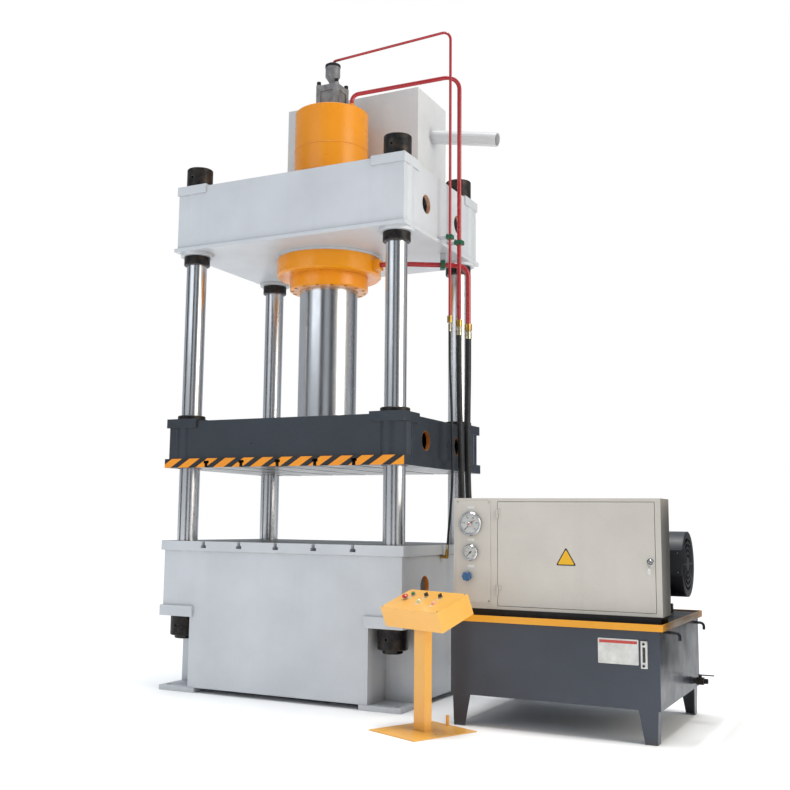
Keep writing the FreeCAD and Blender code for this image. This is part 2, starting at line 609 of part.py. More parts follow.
def make_tank():
    sheet = TANK_SHEET
    outer = block(TANK_X, TANK_Y, TANK_Z)
    inner = block((TANK_X[0] + sheet, TANK_X[1] - sheet), (TANK_Y[0] + sheet, TANK_Y[1] - sheet),
                  (TANK_Z[0] + sheet, TANK_Z[1]))
    pieces = []
    inset, wide, narrow, thick = 15.0, 118.0, 82.0, 8.0
    for sx, x in ((1, TANK_X[0] + inset), (-1, TANK_X[1] - inset)):
        for sy, y in ((1, TANK_Y[0]), (-1, TANK_Y[1])):
            shin = [(x, y, TANK_Z[0]), (x + sx * wide, y, TANK_Z[0]), (x + sx * narrow, y, 0), (x + sx * 8, y, 0)]
            pieces.append(prism(shin, (0, sy * thick, 0)))
            side = [(x, y, TANK_Z[0]), (x, y + sy * wide, TANK_Z[0]), (x + sx * 8, y + sy * narrow, 0),
                    (x + sx * 8, y, 0)]
            pieces.append(prism(side, (sx * thick, 0, 0)))
    for y in (-560.0, 270.0):
        for x, side in ((TANK_X[1], 1), (TANK_X[0], -1)):
            bend = route([(x - side, y, 630), (x + side * 62, y, 630), (x + side * 62, y, 585)], [24])
            pieces.append(swept(bend, 9))
    pieces.append(bar(24, (TANK_X[1], 60, 268), 22, "x"))
    tank = weld(outer.cut(inner), *pieces).cut(bar(13, (TANK_X[1] - 20, 60, 268), 60, "x"))
    save("oil_tank", tank)

    lip = 6.0
    out = ((TANK_X[0] - RIM_OUT, TANK_X[1] + RIM_OUT), (TANK_Y[0] - RIM_OUT, TANK_Y[1] + RIM_OUT))
    inside = [(low + lip, high - lip) for low, high in out]
    rim = block(out[0], out[1], RIM_Z).cut([block(inside[0], inside[1], (TANK_Z[1], RIM_Z[1])),
                                           block(TANK_X, TANK_Y, RIM_Z),
                                           block(inside[0], inside[1], (RIM_Z[0], RIM_Z[0] + 16))])
    save("tank_rim", rim)
    gap = 1.0
    cover = block((inside[0][0] + gap, inside[0][1] - gap), (inside[1][0] + gap, inside[1][1] - gap),
                  (TANK_Z[1], TANK_Z[1] + COVER_T))
    rails = [block((2080, 2650), (DRIVE_Y + side - 25, DRIVE_Y + side + 25), (TANK_Z[1] + COVER_T, RAIL_TOP))
             for side in (-150, 150)]
    save("tank_cover", weld(cover, *rails))

    level = block((2685, 2723), (TANK_Y[0] - 16, TANK_Y[0]), (440, 600))
    window = block((2695, 2713), (TANK_Y[0] - 16, TANK_Y[0] - 12), (475, 565))
    nuts = [bar(9, (2704, TANK_Y[0] - 24, z), 10, "y") for z in (456, 584)]
    save("level_gauge", weld(level.cut(window), *nuts))

    body = weld(ring(20, 11, (TANK_X[1] + 22, 60, 268), 20, "x"), block((2837, 2885), (38, 82), (246, 290)),
                bar(17, (2885, 60, 268), 26, "x"), bar(11, (2861, 60, 290), 12))
    stem_hole = bar(6 + RUNNING_FIT, (2861, 60, 268), 60)
    bore = bar(11, (TANK_X[1] + 22, 60, 268), 94, "x")
    save("drain_valve", body.cut([stem_hole, bore]))
    handle = weld(bar(6, (2861, 60, 284), 26), block((2849, 2951), (50, 70), (304, 310)))
    save("drain_handle", handle)


def make_cabinet():
    sheet = CABINET_SHEET
    outer = block(CABINET_X, CABINET_Y, CABINET_Z)
    inner = block((CABINET_X[0] + sheet, CABINET_X[1] - sheet), (CABINET_Y[0] + sheet, CABINET_Y[1] - sheet),
                  (CABINET_Z[0] + sheet, CABINET_Z[1] - sheet))
    front = CABINET_Y[0]
    jamb = block((DOORWAY_X[0] - sheet, DOORWAY_X[1] + sheet), (front, front + 28),
                 (DOORWAY_Z[0] - sheet, DOORWAY_Z[1] + sheet))
    doorway = block(DOORWAY_X, (front, front + 25), DOORWAY_Z)
    inside_stop = block((DOORWAY_X[0] + 16, DOORWAY_X[1] - 16), (front, front + 28),
                        (DOORWAY_Z[0] + 16, DOORWAY_Z[1] - 16))
    divider = block((1722, 1722 + sheet), (front, CABINET_Y[1]), CABINET_Z)
    window = block((GAUGE_PANEL_X[0] + 14, GAUGE_PANEL_X[1] - 14), (front, front + sheet),
                   (GAUGE_PANEL_Z[0] + 14, GAUGE_PANEL_Z[1] - 14))
    plinth = block((1462, 2788), (-774, -565), (TANK_Z[1] + COVER_T, CABINET_Z[0]))
    plinth = plinth.cut(block((1468, 2782), (-768, -571), (TANK_Z[1] + COVER_T, CABINET_Z[0])))
    shell = weld(outer.cut(inner), jamb, divider, plinth)
    save("cabinet_shell", shell.cut([doorway, inside_stop, window]))

    door_x = (DOORWAY_X[0] + DOOR_GAP, DOORWAY_X[1] - DOOR_GAP)
    door_z = (DOORWAY_Z[0] + DOOR_GAP, DOORWAY_Z[1] - DOOR_GAP)
    skin = 2.5
    door = block(door_x, (front, front + DOOR_T), door_z)
    hollow = block((door_x[0] + skin, door_x[1] - skin), (front + skin, front + DOOR_T),
                   (door_z[0] + skin, door_z[1] - skin))
    knuckle, pin_r, length = 6.0, 3.0, 30.0
    leaf_y = (front - 3, front)
    moving = [door.cut(hollow)]
    fixed = []
    for z in HINGE_Z:
        barrel = bar(knuckle, (HINGE_X, HINGE_Y, z), length)
        leaf = block((HINGE_X, HINGE_X + 24), (HINGE_Y, front), (z, z + length))
        trimmed = leaf.cut(block((HINGE_X + 4, HINGE_X + 30), (HINGE_Y - 1, leaf_y[0]), (z, z + length)))
        moving.append(weld(barrel, trimmed).cut(bar(pin_r + RUNNING_FIT, (HINGE_X, HINGE_Y, z), length)))
        low = z - length - 0.5
        barrel = bar(knuckle, (HINGE_X, HINGE_Y, low), length)
        leaf = block((HINGE_X - 24, HINGE_X), (HINGE_Y, front), (low, low + length))
        trimmed = leaf.cut(block((HINGE_X - 30, HINGE_X - 4), (HINGE_Y - 1, leaf_y[0]), (low, low + length)))
        pin = bar(pin_r, (HINGE_X, HINGE_Y, low), 2 * length + 2)
        fixed.append(weld(barrel, trimmed, pin))
    lock_hole = bar(9 + RUNNING_FIT, (LOCK[0], front - 1, LOCK[1]), DOOR_T, "y")
    save("cabinet_door", weld(*moving).cut(lock_hole))
    save("door_hinges", *fixed)

    barrel = turned_along([(0, -33), (8, -33), (8, -21), (9, -20), (9, 0.5), (14, 0.5), (14, 6), (11, 9), (0, 9)],
                          (LOCK[0], front, LOCK[1]), "-y")
    cam = block((LOCK[0] - 8, LOCK[0] + 8), (front + 29.5, front + 32.5), (LOCK[1] - 8, LOCK[1] + 30))
    key = block((LOCK[0] - 1.5, LOCK[0] + 1.5), (front - 40, front - 8), (LOCK[1] - 11, LOCK[1] + 11))
    save("door_lock", weld(barrel, cam, key))

    panel = block(GAUGE_PANEL_X, (front - sheet, front), GAUGE_PANEL_Z)
    face = front - sheet
    holes = [bar(71, (MAIN_GAUGE[0], face, MAIN_GAUGE[1]), sheet, "y"),
             bar(47, (PILOT_GAUGE[0], face, PILOT_GAUGE[1]), sheet, "y"),
             bar(7 + RUNNING_FIT, (KNOB[0], face, KNOB[1]), sheet, "y")]
    save("gauge_panel", panel.cut(holes))

    for name, hand, (x, z), bezel, case in (("main_gauge", "main_pointer", MAIN_GAUGE, 78.0, 70.0),
                                            ("pilot_gauge", "pilot_pointer", PILOT_GAUGE, 52.0, 46.0)):
        body = turned_along([(0, -60), (case, -60), (case, 0), (bezel - 3, 0), (bezel, 3), (bezel, 20), (bezel - 5, 25),
                             (case - 3, 25), (case - 3, 12), (0, 12)], (x, face, z), "-y")
        spindle = bar(3 + RUNNING_FIT, (x, face - 12, z), 10, "y")
        save(name, body.cut(spindle))
        reach = 0.78 * case
        blade = prism([(0, 0, 2.4), (0, 0, -2.4), (-reach, 0, -0.6), (-reach, 0, 0.6)], (0, -1.6, 0))
        tail = prism([(0, 0, 2.4), (0, 0, -2.4), (0.3 * case, 0, -3.4), (0.3 * case, 0, 3.4)], (0, -1.6, 0))
        hub = bar(6, (0, 0, 0), 3, "y")
        hub.translate(Vector(0, -3, 0))
        needle = weld(blade, tail, hub, bar(3, (0, -1, 0), 10, "y"))
        needle.rotate(Vector(0, 0, 0), Vector(0, 1, 0), -45)
        needle.translate(Vector(x, face - 14.5, z))
        save(hand, needle)

    lobes = 7
    knob = turned_along([(0, -14), (7, -14), (7, 6), (27, 6), (30, 10), (30, 32), (26, 36), (0, 36)],
                        (KNOB[0], face, KNOB[1]), "-y")
    for number in range(lobes):
        angle = 2 * math.pi * number / lobes
        groove = bar(9, (KNOB[0] + 34 * math.cos(angle), face - 40, KNOB[1] + 34 * math.sin(angle)), 36, "y")
        knob = knob.cut(groove)
    save("gauge_knob", knob)


def make_drive():
    y, z = DRIVE_Y, DRIVE_Z
    teeth = 40
    outline = []
    for number in range(teeth):
        for part, radius in ((0.0, MOTOR_R - 22), (0.3, MOTOR_R - 22), (0.38, MOTOR_R), (0.62, MOTOR_R),
                             (0.7, MOTOR_R - 22)):
            angle = 2 * math.pi * (number + part) / teeth
            outline.append((2232, y + radius * math.cos(angle), z + radius * math.sin(angle)))
    finned = prism(outline, (408, 0, 0))
    ends = [bar(MOTOR_R - 8, (2204, y, z), 28, "x"), bar(MOTOR_R - 8, (2640, y, z), 30, "x")]
    base = TANK_Z[1] + COVER_T
    feet = [block((2260, 2380), (y - 178, y + 178), (RAIL_TOP, RAIL_TOP + 26)),
            block((2500, 2620), (y - 178, y + 178), (RAIL_TOP, RAIL_TOP + 26)),
            block((2260, 2620), (y - 120, y + 120), (RAIL_TOP, z - 150))]
    neck = block((2500, 2640), (y - MOTOR_R - 20, y - MOTOR_R + 26), (z - 62, z + 98))
    box = block((2500, 2800), (y - MOTOR_R - 98, y - MOTOR_R - 10), (z - 65, z + 100))
    frame = weld(finned, *ends, *feet, neck, box)
    cavity = [bar(116, (2240, y, z), 395, "x"), bar(SHAFT_R + RUNNING_FIT, (2200, y, z), 480, "x")]
    save("motor_frame", frame.cut(cavity))

    cowl = bar(MOTOR_R + 8, (2672, y, z), 118, "x").cut(bar(MOTOR_R + 5, (2672, y, z), 114, "x"))
    slots = []
    for radius in (60, 95, 130, 165):
        slots.append(ring(radius + 10, radius - 10, (2780, y, z), 12, "x"))
    spokes = [block((2780, 2792), (y - MOTOR_R, y + MOTOR_R), (z - 5, z + 5)),
              block((2780, 2792), (y - 5, y + 5), (z - MOTOR_R, z + MOTOR_R))]
    grille = [slot.cut(spokes) for slot in slots]
    save("motor_cowl", cowl.cut(grille))

    shaft = [bar(SHAFT_R, (2074, y, z), 674, "x"), bar(115, (2250, y, z), 375, "x"),
             bar(60, (2100, y, z), 60, "x"), bar(20, (1960, y, z), 118, "x"), bar(48, (2690, y, z), 50, "x")]
    for number in range(7):
        blade = block((2692, 2738), (y - 3, y + 3), (z + 40, z + 185))
        blade.rotate(Vector(2700, y, z), Vector(1, 0, 0), number * 360 / 7)
        shaft.append(blade)
    save("motor_shaft", weld(*shaft))

    housing = turned_along([(75, 0), (175, 0), (175, 18), (120, 40), (120, 110), (165, 126), (165, 140), (75, 140)],
                           (2062, y, z), "x")
    save("pump_bracket", housing)
    pump = weld(bar(100, (1880, y, z), 170, "x"), bar(74.5, (2050, y, z), 20, "x"),
                block((1900, 1985), (y - 55, y + 55), (z, z + 118)))
    save("pump", pump.cut([bar(20 + RUNNING_FIT, (1955, y, z), 120, "x"),
                           bar(13, (1942, y, z + 90), 30)]))
    top = z + 118
    path = route([(1942, y, top), (1942, y, top + 90), (1755, y, top + 90), (1755, y, 1000)], [38, 38])
    save("delivery_pipe", swept(path, 13).cut(swept(path, 9)))

    manifold = block((1560, 1800), (30, 360), (base, 1000))
    ports = [bar(16, (1560, port, 875), 60, "x") for port in (101, 289)]
    save("valve_manifold", manifold.cut(ports + [bar(9, (1755, y, 940), 60)]))
    valves = []
    for middle in (200, 300):
        body = block((1590, 1730), (middle - 32, middle + 32), (1000, 1066))
        coils = [bar(29, (1530, middle, 1034), 60, "x"), bar(29, (1730, middle, 1034), 60, "x")]
        valves.append(weld(body, *coils))
    save("solenoid_valves", *valves)


# ---------------------------------------------------------------- pedestal

def on_desk(shape):
    """Lay a shape made about the desk's own top centre onto the tilted desk."""
    turn = Rotation(Vector(0, 0, 1), DESK_TURN).multiply(Rotation(Vector(1, 0, 0), DESK_TILT))
    shape.Placement = Placement(Vector(PEDESTAL[0], PEDESTAL[1], DESK_TOP), turn).multiply(shape.Placement)
    return shape


# Control positions on the desk: x to the right, y away from the operator
EMERGENCY = (-171.0, 1.0)
START = (-152.0, 57.0)
SELECTORS = ((-26.0, 57.0), (104.0, 58.0))
LAMPS = ((-14.0, -24.0), (130.0, -31.0))


def make_pedestal():
    width, depth, height = DESK
    sheet = 3.0
    half_x, half_y = width / 2, depth / 2
    box = block((-half_x, half_x), (-half_y, half_y), (-height, -sheet))
    hollow = block((sheet - half_x, half_x - sheet), (sheet - half_y, half_y - sheet), (sheet - height, -sheet))
    desk = on_desk(box.cut(hollow))
    post = block((-50, 50), (-30, 30), (6, DESK_TOP - height + 20))
    tube = post.cut(block((-46, 46), (-26, 26), (6, DESK_TOP)))
    plate = block((-215, 215), (-260, 260), (0, 6))
    gland = ring(11, 8, (-30, 240, 6), 62)
    stand = weld(plate, tube, gland)
    stand.Placement = Placement(Vector(PEDESTAL[0], PEDESTAL[1], 0), Rotation(Vector(0, 0, 1), DESK_TURN))
    cavity = on_desk(hollow.copy())
    save("pedestal_stand", weld(desk, stand.cut(cavity)))

    panel = block((-half_x, half_x), (-half_y, half_y), (-sheet, 0))
    bores = [bar(6.6, (x, y, -sheet), sheet) for x, y in (EMERGENCY, START) + SELECTORS]
    save("desk_panel", on_desk(panel.cut(bores)))

    collars = [on_desk(ring(15, 6 + RUNNING_FIT, (x, y, 0), 9)) for x, y in (EMERGENCY, START) + SELECTORS]
    dome = [(0, 0), (13, 0), (13, 8), (11, 12), (10, 17), (6, 20), (0, 21)]
    lamps = [on_desk(turned(dome, spot)) for spot in LAMPS]
    save("desk_fittings", *collars, *lamps)
    mushroom = [(0, -26), (6, -26), (6, 16), (19, 17), (21, 21), (19, 26), (12, 30), (0, 31.5)]
    save("emergency_button", on_desk(turned(mushroom, EMERGENCY)))
    push = [(0, -26), (6, -26), (6, 14), (13, 14.5), (13, 21), (11.5, 23), (0, 23)]
    save("start_button", on_desk(turned(push, START)))
    for name, (x, y) in zip(("left_selector", "right_selector"), SELECTORS):
        base = turned([(0, -26), (6, -26), (6, 9.5), (13.5, 9.5), (13.5, 13), (0, 13)], (x, y))
        grip = block((x - 4, x + 4), (y - 13, y + 13), (12, 27))
        save(name, on_desk(weld(base, grip)))


os.makedirs("parts", exist_ok=True)
make_bed()
make_columns()
make_crown()
make_cylinder()
make_prefill_valve()
make_refill_tank()
make_slide()
make_pipes()
make_hoses()
make_tank()
make_cabinet()
make_drive()
make_pedestal()
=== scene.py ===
import math

import bmesh
import bpy
import numpy as np
from mathutils import Matrix, Vector


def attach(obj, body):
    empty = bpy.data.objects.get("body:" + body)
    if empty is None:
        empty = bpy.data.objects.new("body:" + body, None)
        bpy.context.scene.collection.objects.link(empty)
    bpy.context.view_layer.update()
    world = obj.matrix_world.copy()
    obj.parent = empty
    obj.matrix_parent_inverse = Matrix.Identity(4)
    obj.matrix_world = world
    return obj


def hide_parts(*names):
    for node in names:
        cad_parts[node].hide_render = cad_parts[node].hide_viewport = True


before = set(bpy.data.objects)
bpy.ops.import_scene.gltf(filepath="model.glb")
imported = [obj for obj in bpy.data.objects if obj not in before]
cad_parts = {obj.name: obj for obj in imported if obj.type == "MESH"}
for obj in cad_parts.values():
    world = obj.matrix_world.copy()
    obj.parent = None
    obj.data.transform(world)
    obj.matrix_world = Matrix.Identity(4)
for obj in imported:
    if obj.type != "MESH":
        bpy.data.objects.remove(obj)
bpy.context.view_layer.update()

# ------------------------------------------------------------------ camera
# A standing person's view from the right front corner of the shop floor, turned a little up
# at the press. The lens is moderate and its frame is slid down and to the right.
EYE = Vector((4.185, -7.332, 1.285))
YAW, PITCH, ROLL = 0.4766, 0.132, 0.0128
LENS, SENSOR = 47.84, 36.0
SLIDE_RIGHT, SLIDE_UP = 0.0304, -0.0152

ahead = Vector((-math.sin(YAW) * math.cos(PITCH), math.cos(YAW) * math.cos(PITCH), math.sin(PITCH)))
level = Vector((math.cos(YAW), math.sin(YAW), 0.0))
rightward = level * math.cos(ROLL) + level.cross(ahead) * math.sin(ROLL)
upward = rightward.cross(ahead)
lens = bpy.data.cameras.new("view")
lens.lens, lens.sensor_width = LENS, SENSOR
lens.shift_x, lens.shift_y = SLIDE_RIGHT, SLIDE_UP
lens.clip_end = 200.0
camera = bpy.data.objects.new("view", lens)
camera.matrix_world = Matrix.Translation(EYE) @ Matrix((rightward, upward, -ahead)).transposed().to_4x4()
bpy.context.scene.collection.objects.link(camera)
bpy.context.scene.camera = camera


# ------------------------------------------------------------------- hoses
# Three rubber hoses hang from the steel pipes on the press's right side: a thin one to the bed
# and two thick ones that swing over behind the switch cabinet to the valve block. Each is wire
# braid under a black cover that was wrapped in cloth tape while it cured, so it has shallow bands.
PILOT_LINE = [(1.110, -0.084, 2.730), (1.110, -0.084, 2.560), (1.118, -0.086, 2.380), (1.128, -0.083, 2.140),
              (1.134, -0.086, 1.880), (1.137, -0.083, 1.630), (1.121, -0.080, 1.400), (1.098, -0.066, 1.230),
              (1.084, -0.050, 1.130)]
UPPER_LINE = [(1.110, 0.100, 2.730), (1.110, 0.100, 2.440), (1.121, 0.099, 2.060), (1.129, 0.103, 1.650),
              (1.142, 0.100, 1.330), (1.172, 0.101, 1.130), (1.250, 0.100, 0.975), (1.365, 0.101, 0.875),
              (1.500, 0.101, 0.875)]
LOWER_LINE = [(1.110, 0.290, 2.730), (1.110, 0.290, 2.440), (1.103, 0.290, 2.080), (1.108, 0.285, 1.640),
              (1.124, 0.289, 1.300), (1.158, 0.287, 1.100), (1.238, 0.290, 0.955), (1.356, 0.289, 0.875),
              (1.500, 0.289, 0.875)]


def tone(red, green, blue):
    """A colour given as a paint chart gives it, 0 to 255, turned into light."""
    shares = np.array([red, green, blue]) / 255.0
    light = np.where(shares < 0.04045, shares / 12.92, ((shares + 0.055) / 1.055) ** 2.4)
    return (*[float(value) for value in light], 1.0)


class Finish:
    """One material, worked out from Object coordinates, which are metres on the machine."""

    def __init__(self, name, metallic=0.0, coat=0.0):
        self.material = bpy.data.materials.new(name)
        self.material.use_nodes = True
        self.tree = self.material.node_tree
        self.shader = self.tree.nodes["Principled BSDF"]
        self.shader.inputs["Metallic"].default_value = metallic
        self.shader.inputs["Coat Weight"].default_value = coat
        self.shader.inputs["Coat Roughness"].default_value = 0.12
        self.place = self.tree.nodes.new("ShaderNodeTexCoord").outputs["Object"]

    def node(self, kind, fed, **settings):
        made = self.tree.nodes.new(kind)
        for key, value in settings.items():
            setattr(made, key, value)
        for socket, value in fed.items():
            if isinstance(value, bpy.types.NodeSocket):
                self.tree.links.new(value, made.inputs[socket])
            else:
                made.inputs[socket].default_value = value
        return made

    def maths(self, operation, first, second=0.0):
        return self.node("ShaderNodeMath", {0: first, 1: second}, operation=operation).outputs[0]

    def noise(self, scale, detail=3.0, stretch=(1.0, 1.0, 1.0)):
        """Cloudy noise, stretched along an axis where its share is below 1."""
        spread = self.node("ShaderNodeMapping", {"Vector": self.place, "Scale": stretch}).outputs[0]
        fed = {"Vector": spread, "Scale": scale, "Detail": detail, "Roughness": 0.6}
        return self.node("ShaderNodeTexNoise", fed).outputs[0]

    def span(self, value, low, high, start=0.0, end=1.0):
        """A value that runs from low to high, as one that runs from start to end and stays inside them."""
        fed = {"Value": value, "From Min": low, "From Max": high, "To Min": start, "To Max": end}
        return self.node("ShaderNodeMapRange", fed).outputs[0]

    def mixed(self, share, first, second):
        """The first colour where share is 0 and the second where it is 1."""
        return self.node("ShaderNodeMix", {0: share, 6: first, 7: second}, data_type="RGBA").outputs[2]

    def along(self, axis):
        return self.node("ShaderNodeSeparateXYZ", {0: self.place}).outputs["XYZ".index(axis)]

    def beyond(self, axis, value):
        """1 where the machine is further along an axis than a value."""
        return self.maths("GREATER_THAN", self.along(axis), value)

    def between(self, axis, low, high):
        return self.maths("MULTIPLY", self.beyond(axis, low), self.maths("LESS_THAN", self.along(axis), high))

    def near(self, centre, reach, flat=(1.0, 1.0, 1.0)):
        """1 within reach of a point. A 0 in flat leaves that axis out, which makes a round bore of the ball."""
        shrunk = tuple(-c * f for c, f in zip(centre, flat))
        moved = self.node("ShaderNodeMapping", {"Vector": self.place, "Scale": flat, "Location": shrunk}).outputs[0]
        away = self.node("ShaderNodeVectorMath", {0: moved}, operation="LENGTH").outputs["Value"]
        return self.maths("LESS_THAN", away, reach)

    def any_of(self, masks):
        whole = masks[0]
        for mask in masks[1:]:
            whole = self.maths("MAXIMUM", whole, mask)
        return whole

    def corners(self, width):
        """1 on corners, 0 on flats: how far the rounded direction leaves the surface's own."""
        rounded = self.node("ShaderNodeBevel", {"Radius": width}, samples=4).outputs[0]
        own = self.node("ShaderNodeNewGeometry", {}).outputs["True Normal"]
        kept = self.node("ShaderNodeVectorMath", {0: rounded, 1: own}, operation="DOT_PRODUCT").outputs["Value"]
        return self.span(kept, 0.985, 0.80)

    def hollows(self, reach):
        """1 deep in a corner between surfaces, where ambient occlusion finds shade, 0 in the open."""
        shade = self.node("ShaderNodeAmbientOcclusion", {"Distance": reach}, samples=4).outputs["AO"]
        return self.span(shade, 0.95, 0.25)

    def bumped(self, height, depth, over=None):
        fed = {"Height": height, "Distance": depth, "Strength": 1.0}
        if over is not None:
            fed["Normal"] = over
        return self.node("ShaderNodeBump", fed).outputs[0]

    def wear(self, **sockets):
        """Feed the shader's sockets by name."""
        for name, value in sockets.items():
            socket = self.shader.inputs[name.replace("_", " ")]
            if isinstance(value, bpy.types.NodeSocket):
                self.tree.links.new(value, socket)
            else:
                socket.default_value = value

    def dress(self, *names):
        """Give this finish to CAD nodes."""
        for name in names:
            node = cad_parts[name]
            if not node.material_slots:
                node.data.materials.append(None)
            for place in node.material_slots:
                place.material = self.material


rubber = Finish("wrapped_rubber")
bands = rubber.node("ShaderNodeTexWave", {"Vector": rubber.place, "Scale": 7.0, "Distortion": 1.2, "Detail": 2.0},
                    bands_direction="Z").outputs["Fac"]
cloth = rubber.noise(900.0, 2.0)
dust = rubber.span(rubber.noise(9.0, 5.0), 0.45, 0.75, 0.0, 0.5)
rubber.wear(Base_Color=rubber.mixed(dust, tone(24, 24, 26), tone(64, 63, 62)),
            Roughness=rubber.span(rubber.noise(40.0), 0.3, 0.7, 0.38, 0.62),
            Normal=rubber.bumped(bands, 0.0006, rubber.bumped(cloth, 0.00012)))


def hang_hose(name, line, node, diameter):
    """A round tube along one smooth spline whose control points are the hose's given route."""
    curve = bpy.data.curves.new(name, "CURVE")
    curve.dimensions = "3D"
    spline = curve.splines.new("NURBS")
    spline.points.add(len(line) - 1)
    for point, place in zip(spline.points, line):
        point.co = (*place, 1.0)
    spline.order_u = 3
    spline.use_endpoint_u = True
    spline.resolution_u = 16
    curve.bevel_depth = diameter / 2
    curve.bevel_resolution = 6
    curve.use_fill_caps = True
    hose = bpy.data.objects.new(name, curve)
    bpy.context.scene.collection.objects.link(hose)
    curve.materials.append(rubber.material)
    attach(hose, "root")
    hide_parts(node)


hang_hose("pilot_rubber", PILOT_LINE, "pilot_hose", 0.018)
hang_hose("upper_rubber", UPPER_LINE, "upper_hose", 0.044)
hang_hose("lower_rubber", LOWER_LINE, "lower_hose", 0.048)


# --------------------------------------------------------------------- bed
# The bed is a box welded from thick rolled plate, blasted, filled and sprayed a cool white.
# It stands on four feet in its cut-away corners. The lifting holes are orange inside, and the
# table on top is a planed slab with five T-slots.
PRESS_WHITE, WHITE_DEEP, CHIPPED = tone(206, 209, 213), tone(190, 193, 197), tone(120, 118, 114)
HOLE_ORANGE = tone(238, 140, 30)


def coat_of_paint(finish, colour, deep, worn, rough=0.36, rub=0.5, grime_and_shade=0.4, peel=0.00012):
    """Sprayed paint: cloudy, faintly streaked downwards, darkened in corners with grime and painted shade, rubbed at
    edges, with orange peel.
    """
    cloud = finish.span(finish.noise(1.3, 4.0), 0.35, 0.70, 0.0, 0.8)
    field = finish.mixed(cloud, colour, deep)
    streak = finish.span(finish.noise(7.0, 4.0, (1.0, 1.0, 0.07)), 0.52, 0.78, 0.0, 0.35)
    field = finish.mixed(streak, field, deep)
    fleck = finish.span(finish.noise(160.0, 2.0), 0.64, 0.72, 0.0, 0.28)
    field = finish.mixed(fleck, field, worn)
    # Grime and painted shade: ambient occlusion darkens the paint towards brown in corners and recesses, in patches.
    patches = finish.span(finish.noise(11.0, 4.0), 0.3, 0.7, grime_and_shade / 3, grime_and_shade)
    corner_grime_and_shade = finish.maths("MULTIPLY", finish.hollows(0.06), patches)
    field = finish.mixed(corner_grime_and_shade, field, tone(78, 70, 60))
    patchy = finish.span(finish.noise(26.0, 5.0), 0.46, 0.62, 0.0, rub)
    edge = finish.maths("MULTIPLY", finish.corners(0.004), patchy)
    field = finish.mixed(edge, field, worn)
    skin = finish.bumped(finish.noise(420.0, 1.0), peel)
    plate = finish.bumped(finish.noise(3.2, 1.0), 0.0030, skin)
    smudge = finish.span(finish.noise(5.0, 5.0), 0.3, 0.7, rough - 0.07, rough + 0.10)
    finish.wear(Base_Color=field, Roughness=smudge, Normal=plate)


bed_paint = Finish("press_white_paint", coat=0.1)
bed_holes = bed_paint.any_of([bed_paint.near((0.0, y, 0.836), 0.0733, (0.0, 1.0, 1.0)) for y in (-0.324, 0.324)])
coat_of_paint(bed_paint, bed_paint.mixed(bed_holes, PRESS_WHITE, HOLE_ORANGE), WHITE_DEEP, CHIPPED)
bed_paint.dress("bed_frame")

table_steel = Finish("planed_table")
planed = table_steel.beyond("Z", 1.1262)
marks = table_steel.noise(90.0, 4.0, (0.03, 1.0, 1.0))
oil = table_steel.span(table_steel.noise(5.0, 5.0), 0.35, 0.7)
oiled = table_steel.mixed(oil, tone(150, 148, 144), tone(96, 92, 86))
sides = table_steel.mixed(table_steel.span(table_steel.noise(1.3, 4.0), 0.3, 0.7), PRESS_WHITE, WHITE_DEEP)
table_steel.wear(Base_Color=table_steel.mixed(planed, sides, oiled), Metallic=planed,
                 Roughness=table_steel.span(marks, 0.3, 0.7, 0.28, 0.44), Normal=table_steel.bumped(marks, 0.0002))
table_steel.dress("bed_table")


def net(rows, columns, round_columns, round_rows=False):
    """The quads of a grid of points, as an array of four corner numbers each."""
    last_row = rows if round_rows else rows - 1
    last_column = columns if round_columns else columns - 1
    i, j = np.meshgrid(np.arange(last_row), np.arange(last_column), indexing="ij")
    down, across = (i + 1) % rows, (j + 1) % columns
    quads = [i * columns + j, i * columns + across, down * columns + across, down * columns + j]
    return np.stack(quads, -1).reshape(-1, 4)


def make_piece(name, grids, finish, body, around=True, smooth=30.0, looped=False):
    """One mesh of several grids of points, each rows x columns x 3. A row closes on itself if around is
    true, and rows that shrink to a point are its poles. Doubled points merge and faces turn outwards."""
    points, faces, start = [], [], 0
    for grid in grids:
        rows, columns = grid.shape[:2]
        points.append(grid.reshape(-1, 3))
        faces.append(net(rows, columns, around, looped) + start)
        start += rows * columns
    mesh = bpy.data.meshes.new(name)
    mesh.from_pydata(np.concatenate(points).tolist(), [], np.concatenate(faces).tolist())
    work = bmesh.new()
    work.from_mesh(mesh)
    bmesh.ops.remove_doubles(work, verts=work.verts, dist=1e-6)
    bmesh.ops.dissolve_degenerate(work, edges=work.edges, dist=1e-7)
    bmesh.ops.recalc_face_normals(work, faces=work.faces)
    work.to_mesh(mesh)
    work.free()
    mesh.materials.append(finish.material)
    piece = bpy.data.objects.new(name, mesh)
    bpy.context.scene.collection.objects.link(piece)
    mesh.shade_smooth()
    mesh.set_sharp_from_angle(angle=math.radians(smooth))
    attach(piece, body)
    return piece


def stood(grid, centre, outward):
    """A grid made about Z, turned so that Z points outward, and moved to a centre."""
    turn = np.array(Vector(outward).to_track_quat("Z", "Y").to_matrix())
    return grid @ turn.T + np.array(centre)


def turned(profile, steps=24):
    """A half section of (radius, height) points, carried round Z: x = r cos a, y = r sin a, z = h."""
    r, h = np.array(profile, float).T
    angle = np.linspace(0, 2 * math.pi, steps, endpoint=False)
    return np.stack([np.outer(r, np.cos(angle)), np.outer(r, np.sin(angle)), np.outer(h, np.ones(steps))], -1)


